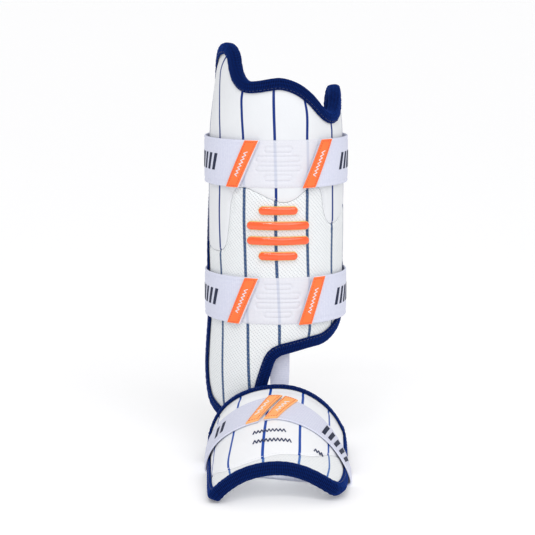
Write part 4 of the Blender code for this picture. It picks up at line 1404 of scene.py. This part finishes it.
def makeFootStrap():
    look = footStrapLook
    edge = -np.cos(np.linspace(0.0, math.pi, look["columns"]))
    toEdge = (1 - np.abs(edge)) * look["width"] / 2
    fall = edgeFall(toEdge, look["edgeRound"])
    sunk = look["groove"] * groove(toEdge - strapLook["selvedge"], strapLook["grooveWidth"])
    outside = footStrapGrid(edge, walls["strap"] - fall * walls["strap"] * look["topFall"] - sunk)
    inside = footStrapGrid(edge, fall * walls["strap"] * look["lowFall"])
    travelled = travel(outside[:, look["columns"] // 2])
    flat = np.stack(np.broadcast_arrays(travelled[:, None], edge[None] * look["width"] / 2), -1)
    dress(band("footStrap", outside, inside, elasticWeb, flat), ("foot_strap",))
    stitches, zigzags = [], []
    footTab("Left", look["leftEnd"], -1, stitches, zigzags)
    footTab("Right", look["rightEnd"], 1, stitches, zigzags)
    runAlong("footTabStitches", "tab", stitches)
    runAlong("footTabZigzags", "zigzag", zigzags)
    inkPiece("footStrapTicks", footTicks())
    print("foot strap made")


def footTab(name, ends, side, stitches, zigzags):
    look, long = tabLook, footStrapLook["width"]

    def spot(across, up, lift):  # across runs over the tab and up along its slanted end
        place = blend(ends[0], ends[1], up) + side * across
        return footStrapSpot(place, 2 * up - 1, lift + 0 * across)

    a, b = -look["footOverhang"], look["tabWidth"] - look["footOverhang"]
    s, t = np.broadcast_arrays(np.linspace(a, b, look["steps"])[:, None], crowded(look["acrossSteps"]))
    away = np.minimum(np.minimum(s - a, b - s), np.minimum(t, 1 - t) * long) + hair
    low = walls["strap"] + hair
    top = low + look["baseWall"] + look["wall"]
    outside = spot(s, t, top - look["footFall"] * edgeFall(away, look["edgeRound"]))
    # the foot tab's paler orange is painted light on the top of the foot
    piece = band("footTab" + name, outside, spot(s, t, low), litFootTabRubber, np.stack((s, t * long), -1))
    dress(piece, ("foot_tab_" + name.lower(),))
    loop = oblong(a, b, 0.0, long, look["margin"], look["stitchStep"])
    stitches.append((spot(loop[:, 0], loop[:, 1] / long, top), True))
    up = np.linspace(look["footTurnInset"], 1 - look["footTurnInset"], look["footTurns"])
    across = look["tabWidth"] / 2 + look["swing"] * swinging(look["footTurns"])
    line = evenLoop(np.stack((across, up * long), -1), look["threadStep"], closed=False)
    zigzags.append((spot(line[:, 0], line[:, 1] / long, top + hair), False))


# Link strap between the two guards
linkLook = {
    "width": 0.019,
    "shift": 0.0040,
    "notchShare": 0.195,
    "seatLength": 0.030,
    "ramp": 0.011,
    "overTape": 0.0053,
    "underRim": 0.0117,
    "clearance": 0.0007,
    "drop": 0.014,
    "bend": 0.008,
    "bendRise": 0.002,
    "step": 0.004,
    "footLength": 0.018,
    "columns": 9,
    "bendSteps": 9,
    "steps": 70,
}


def makeLink():
    look = linkLook
    notch = float(shinHeight(look["notchShare"]))
    tapeTop = notch + shinForm["tapeReach"] + look["overTape"]
    seatLow = tapeTop + look["ramp"]
    freeTop = notch - look["underRim"]
    overTape = slack + look["clearance"]
    tapeEnd = -(heelRadius + slack + footForm["tapeReach"] + look["clearance"])
    innerRadius = shinForm["radius"] + shinLining
    columns = []
    edges = np.linspace(-1.0, 1.0, look["columns"])
    for edge in edges:
        across = look["shift"] + edge * look["width"] / 2
        around = across * shinForm["radius"] / innerRadius
        line = [lifted(shinFace, around, height, shinLining - gap) for height, gap in (
            (seatLow + look["seatLength"], look["clearance"]), (seatLow, look["clearance"]),
            (tapeTop, overTape), (freeTop, overTape))]
        ending = [lifted(footFace, across, y, footLining - gap) for y, gap in (
            (-heelRadius, overTape), (tapeEnd, overTape), (tapeEnd - look["step"], look["clearance"]),
            (tapeEnd - look["footLength"], look["clearance"]))]
        start, finish = line[-1], ending[0]
        down = np.array((0.0, 0.0, -look["drop"]))
        back = np.array((0.0, look["bend"], look["bendRise"]))
        t = np.linspace(0.0, 1.0, look["bendSteps"])[1:-1, None]
        curve = (start * (1 - t) ** 3 + (start + down) * 3 * t * (1 - t) ** 2
                 + (finish + back) * 3 * t * t * (1 - t) + finish * t ** 3)
        columns.append(resampled(np.vstack((line, curve, ending)), look["steps"]))
    outside = np.stack(columns, axis=1)
    middle = outside[:, look["columns"] // 2]
    along = np.gradient(middle, axis=0)
    normal = np.cross(outside[:, -1] - outside[:, 0], along)
    normal /= np.linalg.norm(normal, axis=1, keepdims=True)
    inside = outside + normal[:, None] * walls["strap"]
    flat = np.stack(np.broadcast_arrays(travel(middle)[:, None], edges[None] / 2 * look["width"]), -1)
    dress(band("linkStrap", outside, inside, elasticWeb, flat), ("link_strap",))
    print("link strap made")


# Needlework: white stitches beside each seam, and a chevron ornament on the toe
needleLook = {
    "besideSeam": 0.0019,
    "toRim": 0.006,
    "sunk": 0.0002,
    "swing": 0.0022,
    "threadStep": 0.0008,
    "lift": 0.0002,
}
# first and last place across, place along the foot and number of chevrons in each row
chevronRows = [(-0.0215, 0.0080, -0.1405, 9), (-0.0215, 0.0130, -0.1545, 10), (0.0365, 0.0475, -0.1555, 3)]


def makeNeedlework():
    look = needleLook
    seams = []
    for face, line, rim in ((shinFace, shinSeamMiddle, shinRim), (footFace, footSeamMiddle, footRim)):
        moved = beside(line, look["besideSeam"])
        spots = moved[insideLoop(moved, rim) & (distanceTo(moved, rim, closed=True) > look["toRim"])]
        seams.append((lifted(face, spots[:, 0], spots[:, 1], -look["sunk"]), False))
    runAlong("seamStitches", "seam", seams)
    chevrons = []
    for start, end, y, count in chevronRows:
        across = np.linspace(start, end, count * 2 + 1)
        turns = np.stack((across, y - look["swing"] * swinging(len(across))), -1)
        line = evenLoop(turns, look["threadStep"], closed=False)
        chevrons.append((lifted(footFace, line[:, 0], line[:, 1], look["lift"]), False))
    runAlong("toeChevrons", "chevron", chevrons)
    print("needlework made")


# Studio: the photograph's camera, a pale floor and soft light
studio = {
    "cameraSpot": (-0.0078, -1.600, 0.4265),
    "focalPixels": 1760.0,
    "imagePixels": 535,
    "sensorWidth": 36.0,
    "clip": (0.01, 200.0),
    "horizonPixels": 287.5,
    "floorSize": 80.0,
    "roomLight": 0.70,
    "floorGlow": 0.12,
    "lamps": [
        ("softSun", "SUN", (0.35, -1.15, 0.95), 0.9, 1.02),
        ("glossLight", "AREA", (-0.3, -1.0, 1.1), 0.3, 2.4),
        ("shoeLight", "POINT", (0.0, -0.115, -0.192), 0.02, 0.012),
    ],
}


def makeStudio():
    camera = bpy.data.cameras.new("photoCamera")
    camera.sensor_width = studio["sensorWidth"]
    camera.lens = camera.sensor_width * studio["focalPixels"] / studio["imagePixels"]
    camera.clip_start, camera.clip_end = studio["clip"]
    holder = bpy.data.objects.new("photoCamera", camera)
    x, y, height = studio["cameraSpot"]
    holder.location = (x, y, height - shinForm["seatHeight"])
    pitch = math.atan(studio["horizonPixels"] / studio["focalPixels"])
    holder.rotation_euler = (math.pi / 2 - pitch, 0.0, 0.0)
    bpy.context.scene.collection.objects.link(holder)
    bpy.context.scene.camera = holder

    half = studio["floorSize"] / 2
    z = -shinForm["seatHeight"]
    corners = [(-half, -half, z), (half, -half, z), (half, half, z), (-half, half, z)]
    material, _ = startMaterial("paperFloor", {
        "Roughness": 0.8, "Base Color": "fcfcfd", "Emission Color": "ffffff",
        "Emission Strength": studio["floorGlow"],
    })
    floor = makePiece("floor", np.array(corners), [(0, 1, 2, 3)], material)

    world = bpy.data.worlds.new("softRoom")
    world.use_nodes = True
    sky = world.node_tree.nodes["Background"].inputs
    sky[0].default_value = linear("ffffff")
    sky[1].default_value = studio["roomLight"]
    bpy.context.scene.world = world
    for name, kind, spot, size, power in studio["lamps"]:
        lamp = bpy.data.lights.new(name, kind)
        setattr(lamp, {"SUN": "angle", "AREA": "size", "POINT": "shadow_soft_size"}[kind], size)
        lamp.energy = power
        holder = bpy.data.objects.new(name, lamp)
        holder.location = spot
        holder.rotation_euler = (-Vector(spot)).to_track_quat("-Z", "Y").to_euler()
        holder.visible_camera = False
        bpy.context.scene.collection.objects.link(holder)
    bpy.context.scene.view_settings.view_transform = "Standard"
    print("studio made")


makeStudio()
makePads()
makeCovers()
makeTapes()
makeStraps()
makeEmblem()
makeFootStrap()
makeLink()
makeNeedlework()
